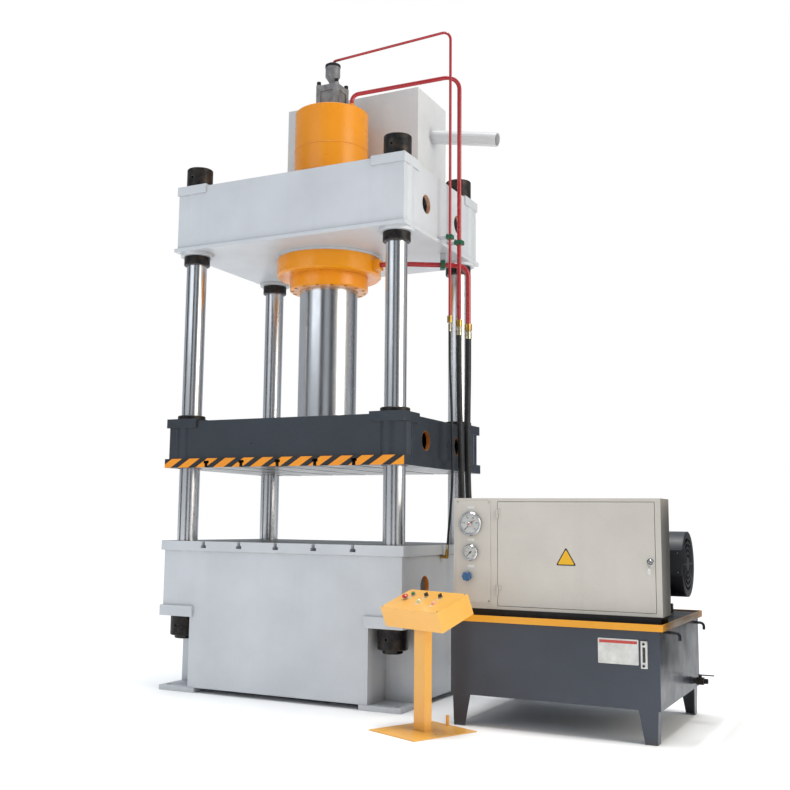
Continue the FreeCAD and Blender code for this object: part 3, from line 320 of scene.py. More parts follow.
def bead(line, radius, pitch=0.009, steps=4):
    """A weld bead: a circle carried along a line of points, whose radius swells and shrinks as
    r (1 + 0.16 |sin|) of the length run, once each pitch, and closes to nothing at both ends."""
    line = np.array(line, float)
    runs = np.linalg.norm(np.diff(line, axis=0), axis=1)
    reached = np.concatenate([[0.0], np.cumsum(runs)])
    count = int(reached[-1] / pitch * steps)
    at = np.linspace(0, reached[-1], count)
    middle = np.stack([np.interp(at, reached, line[:, k]) for k in range(3)], -1)
    heading = np.gradient(middle, axis=0)
    heading /= np.linalg.norm(heading, axis=1, keepdims=True)
    pole = np.where(np.abs(heading[:, 2:3]) > 0.9, [[1.0, 0.0, 0.0]], [[0.0, 0.0, 1.0]])
    side = np.cross(heading, pole)
    side /= np.linalg.norm(side, axis=1, keepdims=True)
    top = np.cross(side, heading)
    swell = radius * (1 + 0.16 * np.abs(np.sin(math.pi * at / pitch)))
    swell[[0, -1]] = 0.0
    angle = np.linspace(0, 2 * math.pi, 8, endpoint=False)
    ring = np.cos(angle)[None, :, None] * side[:, None] + np.sin(angle)[None, :, None] * top[:, None]
    return middle[:, None] + ring * swell[:, None, None]


weld_paint = Finish("painted_weld", coat=0.1)
coat_of_paint(weld_paint, PRESS_WHITE, WHITE_DEEP, CHIPPED, rub=0.3, grime_and_shade=0.9, peel=0.0003)
BED_X, BED_Y, NICHE_X, NICHE_Y = 1.022, 0.7055, 0.765, 0.435
seams = []
for side in (-1, 1):
    for end in (-1, 1):
        seams.append([(side * NICHE_X, end * (NICHE_Y + 0.002), z) for z in (0.040, 0.556)])
        seams.append([(side * NICHE_X, end * NICHE_Y, 0.5565), (side * (BED_X - 0.006), end * NICHE_Y, 0.5565)])
    seams.append([(-BED_X + 0.01, side * BED_Y, 1.0545), (BED_X - 0.01, side * BED_Y, 1.0545)])
    seams.append([(side * BED_X, -BED_Y + 0.01, 1.0545), (side * BED_X, BED_Y - 0.01, 1.0545)])
make_piece("bed_welds", [bead(seam, 0.006) for seam in seams], weld_paint, "root", smooth=80.0)


# ----------------------------------------------------------------- columns
# Four forged columns, ground and hard-chromed to a mirror with a fine trace of the grinding
# wheel round them. Nuts and collars of black-oxidised steel clamp them above and below.
chrome = Finish("hard_chrome", metallic=1.0)
grinding = chrome.noise(3.0, 3.0, (1.0, 1.0, 260.0))
film = chrome.span(chrome.noise(2.6, 5.0, (1.0, 1.0, 0.35)), 0.35, 0.72)
plating = chrome.mixed(film, tone(222, 222, 224), tone(188, 188, 190))
stub = chrome.maths("LESS_THAN", chrome.along("Z"), 0.556)
chrome.wear(Base_Color=chrome.mixed(stub, plating, tone(58, 56, 54)),
            Roughness=chrome.span(film, 0.0, 1.0, 0.19, 0.30), Normal=chrome.bumped(grinding, 0.00006))
chrome.dress("columns", "ram")

oxide = Finish("black_oxide", metallic=0.75)
worn_edge = oxide.maths("MULTIPLY", oxide.corners(0.003), oxide.span(oxide.noise(60.0, 4.0), 0.35, 0.6))
film = oxide.mixed(oxide.span(oxide.noise(18.0, 5.0), 0.4, 0.7), tone(36, 36, 38), tone(70, 62, 54))
oxide.wear(Base_Color=oxide.mixed(worn_edge, film, tone(150, 148, 145)),
           Roughness=oxide.span(oxide.noise(30.0, 4.0), 0.3, 0.7, 0.34, 0.56),
           Normal=oxide.bumped(oxide.noise(220.0, 3.0), 0.00025))
oxide.dress("column_nuts", "crown_collars", "cap_screws")


# ------------------------------------------------------------------- crown
# The crown is a second welded box, hollow where the cylinder hangs through it, sprayed the same
# white. Bosses under it take the columns, and its lifting holes are orange inside like the bed's.
crown_paint = Finish("crown_white_paint", coat=0.1)
crown_holes = crown_paint.any_of([crown_paint.near((0.0, y, 3.677), 0.0733, (0.0, 1.0, 1.0)) for y in (-0.306, 0.306)])
coat_of_paint(crown_paint, crown_paint.mixed(crown_holes, PRESS_WHITE, HOLE_ORANGE), WHITE_DEEP, CHIPPED)
crown_paint.dress("crown_frame")

angles = np.linspace(0, 2 * math.pi, 73)
boss_rings = [[(cx + 0.1325 * math.cos(a), cy + 0.1325 * math.sin(a), 3.4238) for a in angles]
              for cx in (-0.9, 0.9) for cy in (-0.5865, 0.5865)]
seat_ring = [[(0.4365 * math.cos(a), 0.4365 * math.sin(a), 3.4238) for a in angles]]
make_piece("crown_welds", [bead(ring, 0.005) for ring in boss_rings + seat_ring], weld_paint, "root",
           smooth=80.0)


# ---------------------------------------------------------------- cylinder
# The cylinder barrel is a forging turned all over and sprayed gloss orange, with its flange and
# gland ring bolted up under the crown. A bronze bush in the gland guides the chromed ram.
ORANGE, ORANGE_DEEP, PRIMER = tone(243, 155, 2), tone(230, 136, 2), tone(150, 96, 40)
orange = Finish("cylinder_orange_paint", coat=0.12)
coat_of_paint(orange, ORANGE, ORANGE_DEEP, PRIMER, rough=0.30, rub=0.4, grime_and_shade=0.35)
orange.dress("cylinder_barrel", "gland_ring", "ram_flange")

barrel_rings = [[(0.3052 * math.cos(a), 0.3052 * math.sin(a), z) for a in angles] for z in (4.12, 4.33)]
make_piece("barrel_welds", [bead(ring, 0.0035) for ring in barrel_rings], orange, "root",
           smooth=80.0)

bronze = Finish("guide_bronze", metallic=1.0)
tarnish = bronze.span(bronze.noise(14.0, 4.0), 0.35, 0.7)
bronze.wear(Base_Color=bronze.mixed(tarnish, tone(196, 160, 96), tone(140, 104, 58)),
            Roughness=bronze.span(bronze.noise(50.0, 3.0), 0.3, 0.7, 0.24, 0.42),
            Normal=bronze.bumped(bronze.noise(6.0, 2.0, (1.0, 1.0, 90.0)), 0.00015))
bronze.dress("guide_bush")


# ----------------------------------------------------------- prefill valve
# On top of the barrel sits the prefill valve, a block of grey cast iron with a turned pilot head,
# and inside it a bright steel poppet on a spring.
iron = Finish("valve_iron", metallic=0.35)
sand = iron.noise(260.0, 4.0)
iron_field = iron.mixed(iron.span(iron.noise(12.0, 5.0), 0.35, 0.7), tone(150, 152, 154), tone(104, 104, 104))
worn_iron = iron.mixed(iron.maths("MULTIPLY", iron.corners(0.003), 0.7), iron_field, tone(196, 194, 190))
iron.wear(Base_Color=iron.mixed(iron.beyond("Z", 5.080), worn_iron, tone(34, 33, 34)),
          Roughness=iron.span(sand, 0.3, 0.7, 0.40, 0.62), Normal=iron.bumped(sand, 0.0004))
iron.dress("prefill_valve", "pilot_head", "pump")

HEX_TOP, LUG = 4.906, 0.084
cap_head = [(0.0, 0.0), (0.0175, 0.0), (0.0175, 0.030), (0.0158, 0.032), (0.0085, 0.032), (0.0085, 0.018), (0.0, 0.018)]
bolts = [stood(turned(cap_head, 24), (sx * LUG, sy * LUG, HEX_TOP), (0, 0, 1)) for sx in (-1, 1) for sy in (-1, 1)]
make_piece("valve_bolts", bolts, oxide, "root")
cap_section = [(0.0110, 0.0), (0.052, 0.0), (0.052, 0.006), (0.046, 0.010), (0.024, 0.012), (0.022, 0.020),
               (0.0110, 0.020)]
make_piece("head_cap", [stood(turned(cap_section, 48), (0.0, 0.0, 5.104), (0, 0, 1))], oxide, "root",
           looped=True)

zinc = Finish("zinc_plate", metallic=1.0)
spangle = zinc.node("ShaderNodeTexVoronoi", {"Vector": zinc.place, "Scale": 60.0}).outputs["Distance"]
zinc_field = zinc.mixed(zinc.span(spangle, 0.1, 0.7), tone(206, 202, 190), tone(160, 156, 148))
# Painted shade: the plating is darkened towards brown where ambient occlusion finds hollows and corners.
zinc.wear(Base_Color=zinc.mixed(zinc.hollows(0.02), zinc_field, tone(84, 78, 70)),
          Roughness=zinc.span(zinc.noise(35.0, 4.0), 0.3, 0.7, 0.26, 0.46),
          Normal=zinc.bumped(zinc.noise(340.0, 2.0), 0.0001))
zinc.dress("piston", "prefill_poppet", "motor_shaft", "delivery_pipe", "valve_manifold")


# ------------------------------------------------------------- refill tank
# Behind the cylinder stands the refill tank, folded and welded from sheet and sprayed white,
# with a drain pipe that slopes down to the right.
tank_paint = Finish("refill_white_paint", coat=0.1)
coat_of_paint(tank_paint, tone(212, 212, 211), WHITE_DEEP, CHIPPED, rough=0.42, grime_and_shade=0.5)
tank_paint.dress("refill_tank")


# ------------------------------------------------------------------- slide
# The slide is a welded box on a thick plate, sprayed slate grey, that runs on the four columns in
# black-cased bushes. Its plate has orange and black hazard stripes along the front edge.
SLATE, SLATE_DEEP, SLATE_WORN = tone(46, 53, 62), tone(36, 42, 50), tone(110, 112, 114)
slate = Finish("slide_slate_paint", coat=0.15)
slide_holes = slate.any_of([slate.near((0.0, y, 1.884), 0.0733, (0.0, 1.0, 1.0)) for y in (-0.306, 0.306)])
coat_of_paint(slate, slate.mixed(slide_holes, SLATE, HOLE_ORANGE), SLATE_DEEP, SLATE_WORN, rough=0.34)
slate.dress("slide_frame")
oxide.dress("column_bushes")

STRIPE_PITCH, STRIPE_LEAN = 0.168, 1.6
striped = Finish("hazard_edge_paint", coat=0.2)
leaned = striped.maths("SUBTRACT", striped.along("X"), striped.maths("MULTIPLY", striped.along("Z"), STRIPE_LEAN))
phase = striped.maths("FRACT", striped.maths("DIVIDE", striped.maths("ADD", leaned, 10.0), STRIPE_PITCH))
orange_band = striped.maths("LESS_THAN", phase, 0.58)
on_front = striped.maths("LESS_THAN", striped.along("Y"), -0.7255)
tape = striped.mixed(orange_band, tone(30, 30, 32), tone(250, 158, 20))
tape_deep = striped.mixed(orange_band, tone(20, 20, 22), tone(236, 138, 14))
# Painted shade: the plate's underside, below z 1.6889, is painted dark brown instead of slate.
shaded_underside = striped.maths("LESS_THAN", striped.along("Z"), 1.6889)
face = striped.mixed(shaded_underside, striped.mixed(on_front, SLATE, tape), tone(44, 40, 37))
face_deep = striped.mixed(shaded_underside, striped.mixed(on_front, SLATE_DEEP, tape_deep), tone(28, 26, 24))
coat_of_paint(striped, face, face_deep, SLATE_WORN, rough=0.34, rub=0.35)
striped.dress("slide_plate")

SCREWS, SCREW_CIRCLE, FLANGE_TOP = 12, 0.315, 2.082
socket_head = [(0.0, 0.003), (0.0055, 0.003), (0.0055, 0.0118), (0.012, 0.012), (0.0132, 0.0108), (0.0132, 0.0),
               (0.0, 0.0)]
heads = []
for number in range(SCREWS):
    turn = 2 * math.pi * number / SCREWS
    spot = (SCREW_CIRCLE * math.cos(turn), SCREW_CIRCLE * math.sin(turn), FLANGE_TOP)
    heads.append(stood(turned(socket_head), spot, (0, 0, 1)))
make_piece("flange_screws", heads, oxide, "slide")


# ------------------------------------------------------------ pipes, clamps
# Drawn steel pipes bent on a former and sprayed gloss red run from the cylinder down the right
# side, held in green clamps. Crimped ferrules and brass nuts join them to the hoses.
red = Finish("pipe_red_paint", coat=0.6)
coat_of_paint(red, tone(178, 24, 34), tone(146, 18, 28), tone(96, 40, 36), rough=0.26, rub=0.3, peel=0.00008)
red.dress("pilot_pipe", "upper_pipe", "lower_pipe")

green = Finish("clamp_green_plastic")
grain = green.noise(180.0, 3.0)
green.wear(Base_Color=green.mixed(green.span(green.noise(24.0, 4.0), 0.3, 0.7), tone(30, 104, 70), tone(18, 66, 46)),
           Roughness=green.span(grain, 0.3, 0.7, 0.42, 0.6), Normal=green.bumped(grain, 0.0003))
green.dress("pipe_clamps")

fitting = Finish("hose_fitting_metal", metallic=1.0)
brass_parts = [fitting.near((1.06, -0.045, 1.02), 0.075), fitting.between("Z", 2.797, 2.86),
               fitting.between("X", 1.539, 1.58)]
plated = fitting.mixed(fitting.span(fitting.noise(30.0, 4.0), 0.35, 0.7), tone(208, 200, 176), tone(150, 142, 120))
brassy = fitting.mixed(fitting.span(fitting.noise(20.0, 4.0), 0.35, 0.7), tone(206, 170, 92), tone(146, 112, 54))
fitting.wear(Base_Color=fitting.mixed(fitting.any_of(brass_parts), plated, brassy),
             Roughness=fitting.span(fitting.noise(40.0, 3.0), 0.3, 0.7, 0.24, 0.40),
             Normal=fitting.bumped(fitting.noise(5.0, 2.0, (1.0, 1.0, 40.0)), 0.0003))
fitting.dress("hose_fittings")


# --------------------------------------------------------------- power unit
# The oil tank is folded from plate on four splayed feet and sprayed slate. A yellow rim runs
# round its top and holds a black cover, and a level glass and a drain valve are let into it.
tank_slate = Finish("tank_slate_paint", coat=0.15)
coat_of_paint(tank_slate, tone(60, 66, 78), tone(49, 54, 64), SLATE_WORN, rough=0.40, grime_and_shade=0.5)
tank_slate.dress("oil_tank")

yellow = Finish("rim_yellow_paint", coat=0.3)
coat_of_paint(yellow, tone(240, 168, 30), tone(226, 148, 20), tone(120, 96, 52), rough=0.34)
yellow.dress("tank_rim")

cover = Finish("tank_cover_paint", coat=0.1)
coat_of_paint(cover, tone(26, 26, 28), tone(18, 18, 20), tone(90, 88, 84), rough=0.50, grime_and_shade=0.3)
cover.dress("tank_cover")
oxide.dress("drain_valve", "drain_handle")

level_glass = Finish("level_gauge_body", coat=0.3)
window_sides, window_ends = level_glass.between("X", 2.695, 2.713), level_glass.between("Z", 0.475, 0.565)
oil_window = level_glass.maths("MULTIPLY", window_sides, window_ends)
yellowed = level_glass.span(level_glass.noise(40.0), 0.3, 0.7)
level_field = level_glass.mixed(yellowed, tone(226, 226, 224), tone(200, 200, 198))
level_glass.wear(Base_Color=level_glass.mixed(oil_window, level_field, tone(60, 52, 40)),
                 Roughness=level_glass.span(level_glass.noise(50.0), 0.3, 0.7, 0.18, 0.34),
                 Normal=level_glass.bumped(level_glass.noise(120.0), 0.0001))
level_glass.dress("level_gauge")


def plate(width, height, thick, corner=0.003, chamfer=0.0006, arc=6):
    """A thin plate lying on Z = 0: the outline of a rounded rectangle, a corner's centre plus its radius
    turned, drawn in along a section that rises up the edge, over a small chamfer and across the top."""
    quarter = np.repeat(np.arange(4), arc)
    angle = quarter * math.pi / 2 + np.tile(np.linspace(0, math.pi / 2, arc), 4)
    sign_x, sign_y = np.array([1, -1, -1, 1])[quarter], np.array([1, 1, -1, -1])[quarter]
    rows = []
    for inset, z in ((None, 0.0), (0.0, 0.0), (0.0, thick - chamfer), (chamfer, thick), (None, thick)):
        if inset is None:
            rows.append(np.stack([0 * angle, 0 * angle, 0 * angle + z], -1))
            continue
        x = sign_x * (width / 2 - corner) + (corner - inset) * np.cos(angle)
        y = sign_y * (height / 2 - corner) + (corner - inset) * np.sin(angle)
        rows.append(np.stack([x, y, 0 * angle + z], -1))
    return np.stack(rows)


def on_front_face(grid, x, y, z):
    """A grid made in its own X and Y, stood up facing the operator at a point of the machine."""
    return np.stack([grid[..., 0] + x, y - grid[..., 2], grid[..., 1] + z], -1)


level_nuts = [on_front_face(turned([(0.0, 0.0), (0.0088, 0.0), (0.0088, 0.004), (0.0074, 0.005), (0.0, 0.005)], 6),
                            2.704, -0.874, z) for z in (0.456, 0.584)]
make_piece("level_nuts", level_nuts, oxide, "root")

enamel = Finish("label_plate_white", coat=0.2)
red_band = enamel.maths("MULTIPLY", enamel.between("Z", 0.578, 0.596), enamel.between("X", 2.430, 2.661))
label_field = enamel.mixed(enamel.span(enamel.noise(16.0, 4.0), 0.3, 0.75), tone(228, 228, 224), tone(196, 194, 188))
enamel.wear(Base_Color=enamel.mixed(red_band, label_field, tone(196, 70, 62)),
            Roughness=enamel.span(enamel.noise(30.0), 0.3, 0.7, 0.26, 0.44),
            Normal=enamel.bumped(enamel.noise(300.0), 0.00006))
make_piece("tank_label", [on_front_face(plate(0.247, 0.150, 0.0015, 0.006), 2.5455, -0.8500, 0.530)], enamel, "root")


# ----------------------------------------------------------------- cabinet
# The switch cabinet is folded from sheet steel and powder-coated warm beige. A hinged door with a
# quarter-turn lock closes it, and the pressure gauges sit in a panel of their own on its left.
BEIGE, BEIGE_DEEP, BEIGE_WORN = tone(208, 202, 193), tone(193, 187, 178), tone(140, 136, 130)
powder = Finish("cabinet_beige_powder", coat=0.05)
plinth = powder.maths("LESS_THAN", powder.along("Z"), 0.7378)
coat_of_paint(powder, powder.mixed(plinth, BEIGE, tone(26, 26, 28)), powder.mixed(plinth, BEIGE_DEEP, tone(18, 18, 20)),
              BEIGE_WORN, rough=0.44, rub=0.35, grime_and_shade=0.5, peel=0.00016)
powder.dress("cabinet_shell", "cabinet_door", "door_hinges", "gauge_panel")

bright = Finish("bright_plating", metallic=1.0)
handled = bright.span(bright.noise(30.0, 4.0), 0.35, 0.7)
bright.wear(Base_Color=bright.mixed(handled, tone(220, 221, 223), tone(170, 170, 172)),
            Roughness=bright.span(bright.noise(60.0, 3.0), 0.3, 0.7, 0.12, 0.26),
            Normal=bright.bumped(bright.noise(500.0), 0.00004))
bright.dress("door_lock", "main_gauge", "pilot_gauge")

LOCK_X, LOCK_Z, DOOR_FACE = 2.738, 1.067, -0.790
boss = [(0.0145, 0.0), (0.0215, 0.0), (0.0215, 0.0030), (0.0190, 0.0046), (0.0145, 0.0046)]
make_piece("lock_rosette", [on_front_face(turned(boss, 40), LOCK_X, DOOR_FACE, LOCK_Z)], bright, "door",
           looped=True)
bow = [[(LOCK_X + 0.010 * math.cos(a), DOOR_FACE - 0.041, LOCK_Z - 0.012 + 0.012 * math.sin(a)) for a in angles],
       [(LOCK_X + 0.0012, DOOR_FACE - 0.042 + 0.007 * math.cos(a), LOCK_Z - 0.031 + 0.009 * math.sin(a))
        for a in angles]]
make_piece("key_ring", [bead(ring, 0.0011, 0.004, 2) for ring in bow], bright, "lock", smooth=80.0)
key_tag = plate(0.017, 0.038, 0.0022, 0.007)
make_piece("key_tag", [on_front_face(key_tag, LOCK_X, DOOR_FACE - 0.041, LOCK_Z - 0.056)], enamel, "lock")

TRIANGLE_X, TRIANGLE_Z = 2.210, 1.068


def three_cornered(side, thick, corner, chamfer=0.0005, arc=8):
    """A thin three-cornered plate, point up: each corner's centre plus its radius turned through a third
    of a circle, drawn in along the same section as a plate."""
    third = np.repeat(np.arange(3), arc)
    middle = math.pi / 2 + third * 2 * math.pi / 3
    angle = middle + np.tile(np.linspace(-math.pi / 3, math.pi / 3, arc), 3)
    reach = side / math.sqrt(3) - 2 * corner
    rows = []
    for inset, z in ((None, 0.0), (0.0, 0.0), (0.0, thick - chamfer), (chamfer, thick), (None, thick)):
        size = 0.0 if inset is None else 1.0
        x = size * (reach * np.cos(middle) + (corner - (inset or 0.0)) * np.cos(angle))
        y = size * (reach * np.sin(middle) + (corner - (inset or 0.0)) * np.sin(angle))
        rows.append(np.stack([x, y, 0 * angle + z], -1))
    return np.stack(rows)


sign_black = Finish("sign_border_black", coat=0.2)
sign_black.wear(Base_Color=sign_black.mixed(sign_black.noise(60.0), tone(24, 24, 24), tone(46, 44, 42)),
                Roughness=sign_black.span(sign_black.noise(80.0), 0.3, 0.7, 0.30, 0.48),
                Normal=sign_black.bumped(sign_black.noise(300.0), 0.00005))
sign_yellow = Finish("sign_yellow", coat=0.2)
sign_yellow.wear(Base_Color=sign_yellow.mixed(sign_yellow.noise(40.0), tone(246, 190, 30), tone(232, 172, 24)),
                 Roughness=sign_yellow.span(sign_yellow.noise(80.0), 0.3, 0.7, 0.30, 0.46),
                 Normal=sign_yellow.bumped(sign_yellow.noise(300.0), 0.00005))
make_piece("door_sign_border", [on_front_face(three_cornered(0.132, 0.0010, 0.006), TRIANGLE_X, DOOR_FACE, TRIANGLE_Z)],
           sign_black, "door")
inner = on_front_face(three_cornered(0.108, 0.0006, 0.005), TRIANGLE_X, DOOR_FACE - 0.0010, TRIANGLE_Z)
make_piece("door_sign", [inner], sign_yellow, "door")


# ------------------------------------------------------------------ gauges
# Two round pressure gauges in plated cases look out of the gauge panel, with white enamelled dials,
# black figures, a red contact hand and a flat glass. A blue star knob below shuts them off.
PANEL_FACE = -0.793
DIALS = {"main": (1.566, 1.283, 0.0668), "pilot": (1.566, 1.096, 0.0428)}
dial_white = Finish("dial_enamel")
dial_white.wear(Base_Color=dial_white.mixed(dial_white.noise(50.0), tone(240, 240, 238), tone(226, 226, 222)),
                Roughness=dial_white.span(dial_white.noise(80.0), 0.3, 0.7, 0.26, 0.40),
                Normal=dial_white.bumped(dial_white.noise(400.0), 0.00003))
clear = Finish("gauge_glass")
clear.wear(Base_Color=(1.0, 1.0, 1.0, 1.0), Roughness=clear.span(clear.noise(20.0, 4.0), 0.3, 0.7, 0.0, 0.04),
           Transmission_Weight=1.0, IOR=1.10, Normal=clear.bumped(clear.noise(10.0), 0.00002))
hand_red = Finish("contact_hand_red", coat=0.3)
hand_red.wear(Base_Color=hand_red.mixed(hand_red.noise(60.0), tone(196, 28, 24), tone(170, 20, 20)),
              Roughness=hand_red.span(hand_red.noise(90.0), 0.3, 0.7, 0.28, 0.42),
              Normal=hand_red.bumped(hand_red.noise(300.0), 0.00004))

SWEEP_START, SWEEP = math.radians(225), math.radians(-270)
for name, (x, z, radius) in DIALS.items():
    face = turned([(0, 0), (radius, 0), (radius, 0.0006), (radius - 0.0006, 0.0010), (0, 0.0010)], 64)
    make_piece(name + "_dial", [on_front_face(face, x, PANEL_FACE - 0.012, z)], dial_white, "root")
    ticks = []
    for number in range(51):
        turn = SWEEP_START + SWEEP * number / 50
        long = number % 10 == 0
        reach, width = (0.16, 0.028) if long else (0.08, 0.012)
        tick = plate(radius * reach, radius * width, 0.0003, radius * 0.005, 0.0001, 2)
        tick[..., 0] += radius * (0.84 if long else 0.88)
        spun = np.array([[math.cos(turn), -math.sin(turn), 0], [math.sin(turn), math.cos(turn), 0], [0, 0, 1]])
        ticks.append(on_front_face(tick @ spun.T, x, PANEL_FACE - 0.013, z))
    make_piece(name + "_dial_ticks", ticks, sign_black, "root")
    pane = turned([(0, 0), (radius - 0.001, 0), (radius - 0.001, 0.0018), (0, 0.0018)], 48)
    make_piece(name + "_glass", [on_front_face(pane, x, PANEL_FACE - 0.0205, z)], clear, "root")
    for number in range(6):
        turn = SWEEP_START + SWEEP * number / 5
        words = bpy.data.curves.new(name + "_figure", "FONT")
        words.body = str(number * 10)
        words.size, words.extrude = radius * 0.21, 0.0001
        words.align_x, words.align_y = "CENTER", "CENTER"
        drawn = bpy.data.objects.new(name + "_figure", words)
        bpy.context.scene.collection.objects.link(drawn)
        bpy.context.view_layer.update()
        mesh = bpy.data.meshes.new_from_object(drawn)
        bpy.data.objects.remove(drawn)
        co = np.zeros(len(mesh.vertices) * 3)
        mesh.vertices.foreach_get("co", co)
        co = co.reshape(-1, 3) + [radius * 0.66 * math.cos(turn), radius * 0.66 * math.sin(turn), 0]
        mesh.vertices.foreach_set("co", on_front_face(co, x, PANEL_FACE - 0.0131, z).ravel())
        mesh.update()
        mesh.materials.clear()
        mesh.materials.append(sign_black.material)
        figure = bpy.data.objects.new(f"{name}_figure_{number * 10}", mesh)
        bpy.context.scene.collection.objects.link(figure)
        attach(figure, "root")

hand = plate(0.048, 0.0030, 0.0006, 0.0014, 0.0002)
hand[..., 0] += 0.020
turn = math.radians(35)
spun = np.array([[math.cos(turn), -math.sin(turn), 0], [math.sin(turn), math.cos(turn), 0], [0, 0, 1]])
make_piece("contact_hand", [on_front_face(hand @ spun.T, 1.566, PANEL_FACE - 0.0188, 1.283)], hand_red, "root")

contact_knob = [(0.0, 0.0), (0.014, 0.0), (0.014, 0.002), (0.010, 0.004), (0.010, 0.013), (0.008, 0.015), (0.0, 0.015)]
make_piece("contact_knob", [on_front_face(turned(contact_knob, 32), 1.566, PANEL_FACE - 0.0224, 1.283)], bright, "root")
make_piece("contact_button", [on_front_face(turned([(0, 0), (0.0055, 0), (0.0055, 0.002), (0, 0.003)], 24), 1.566,
                                            PANEL_FACE - 0.0375, 1.283)], hand_red, "root")

black_hand = Finish("hand_black", coat=0.1)
black_hand.wear(Base_Color=black_hand.mixed(black_hand.noise(60.0), tone(20, 20, 20), tone(40, 38, 36)),
                Roughness=black_hand.span(black_hand.noise(80.0), 0.3, 0.7, 0.34, 0.5),
                Normal=black_hand.bumped(black_hand.noise(300.0), 0.00005))
black_hand.dress("main_pointer", "pilot_pointer")

blue = Finish("knob_blue_plastic", coat=0.3)
blue.wear(Base_Color=blue.mixed(blue.span(blue.noise(30.0, 4.0), 0.3, 0.7), tone(44, 104, 158), tone(28, 76, 124)),
          Roughness=blue.span(blue.noise(60.0), 0.3, 0.7, 0.26, 0.42),
          Normal=blue.bumped(blue.noise(260.0, 3.0), 0.00012))
blue.dress("gauge_knob")

slot_head = [(0.0, 0.0012), (0.0012, 0.0012), (0.0016, 0.0030), (0.0050, 0.0026), (0.0058, 0.0010), (0.0058, 0.0),
             (0.0, 0.0)]
screws = [on_front_face(turned(slot_head, 20), x, PANEL_FACE, z) for x in (1.474, 1.692) for z in (0.787, 1.426)]
make_piece("panel_screws", screws, bright, "root")
tags = [on_front_face(plate(0.046, 0.016, 0.0008, 0.002), 1.566, PANEL_FACE, z) for z in (1.392, 1.180, 1.008)]
make_piece("panel_tags", tags, enamel, "root")


# ------------------------------------------------------------------- drive
# A finned cast-iron motor on rails turns the pump through a coupling inside the bell housing, and
# the pump feeds a drilled valve block. The solenoid coils on the valves are black plastic.
cast = Finish("motor_grey_paint", coat=0.05)
coat_of_paint(cast, tone(62, 66, 70), tone(46, 50, 54), tone(120, 120, 118), rough=0.44, grime_and_shade=0.7, peel=0.0004)
cast.dress("motor_frame", "motor_cowl", "pump_bracket")

BOX_FACE = -0.190
corners = [(x, z) for x in (2.518, 2.782) for z in (0.985, 1.110)]
lid_heads = [on_front_face(turned(slot_head, 20), x, BOX_FACE, z) for x, z in corners]
make_piece("terminal_screws", lid_heads, bright, "root")

coil = Finish("coil_black_plastic")
coil_grain = coil.noise(240.0, 3.0)
coil.wear(Base_Color=coil.mixed(coil.noise(20.0, 4.0), tone(28, 28, 30), tone(50, 50, 52)),
          Roughness=coil.span(coil_grain, 0.3, 0.7, 0.40, 0.58), Normal=coil.bumped(coil_grain, 0.0002))
coil.dress("solenoid_valves", "left_selector", "right_selector")


# ---------------------------------------------------------------- pedestal
# The operator's desk is a folded steel box on a square post and a floor plate, sprayed pale
# orange-yellow. Its sloping lid carries an emergency stop, a start button, two selectors and two lamps.
desk_paint = Finish("desk_yellow_paint", coat=0.3)
coat_of_paint(desk_paint, tone(250, 190, 92), tone(238, 172, 74), tone(150, 116, 64), rough=0.34, grime_and_shade=0.4)
desk_paint.dress("pedestal_stand", "desk_panel")

DESK_AT, DESK_TURN, DESK_TILT = (1.391, -1.160, 0.798), math.radians(-24.0), math.radians(22.0)
desk_frame = Matrix.Rotation(DESK_TURN, 3, "Z") @ Matrix.Rotation(DESK_TILT, 3, "X")


def on_desk(grid):
    """A grid made on the desk lid's own X, Y and height, laid onto the tilted lid."""
    return grid @ np.array(desk_frame).T + np.array(DESK_AT)


lamp_spots = [Vector(on_desk(np.array([x, y, 0.008]))) for x, y in ((-0.014, -0.024), (0.130, -0.031))]
desk_metal = Finish("desk_fitting_metal", metallic=0.0, coat=0.3)
lamps = [desk_metal.near(tuple(spot), 0.017) for spot in lamp_spots]
plated = desk_metal.mixed(desk_metal.noise(60.0), tone(206, 206, 206), tone(160, 160, 160))
lit = desk_metal.mixed(lamps[1], desk_metal.mixed(lamps[0], plated, tone(206, 222, 190)), tone(238, 176, 158))
desk_metal.wear(Base_Color=lit, Roughness=desk_metal.span(desk_metal.noise(80.0), 0.3, 0.7, 0.14, 0.28),
                Metallic=desk_metal.maths("SUBTRACT", 1.0, desk_metal.any_of(lamps)),
                Normal=desk_metal.bumped(desk_metal.noise(300.0), 0.00005))
desk_metal.dress("desk_fittings")

for name, colour, deep, node in (("stop_red_plastic", tone(206, 30, 24), tone(170, 20, 18), "emergency_button"),
                                 ("start_green_plastic", tone(30, 142, 84), tone(20, 108, 62), "start_button")):
    button = Finish(name, coat=0.4)
    button.wear(Base_Color=button.mixed(button.span(button.noise(50.0, 4.0), 0.3, 0.7), colour, deep),
                Roughness=button.span(button.noise(90.0), 0.3, 0.7, 0.22, 0.36),
                Normal=button.bumped(button.noise(400.0), 0.00005))
    button.dress(node)

lid_screws = [on_desk(turned(slot_head, 20) + np.array([x, y, 0])) for x in (-0.257, 0.257) for y in (-0.127, 0.127)]
make_piece("desk_screws", lid_screws, bright, "root")
patches = []
for x, y in ((-0.026, 0.057), (0.104, 0.058), (-0.152, 0.057), (-0.014, -0.024), (0.130, -0.031)):
    patches.append(on_desk(plate(0.030, 0.010, 0.0007, 0.002) + np.array([x, y - 0.027, 0])))
make_piece("desk_tags", patches, enamel, "root")


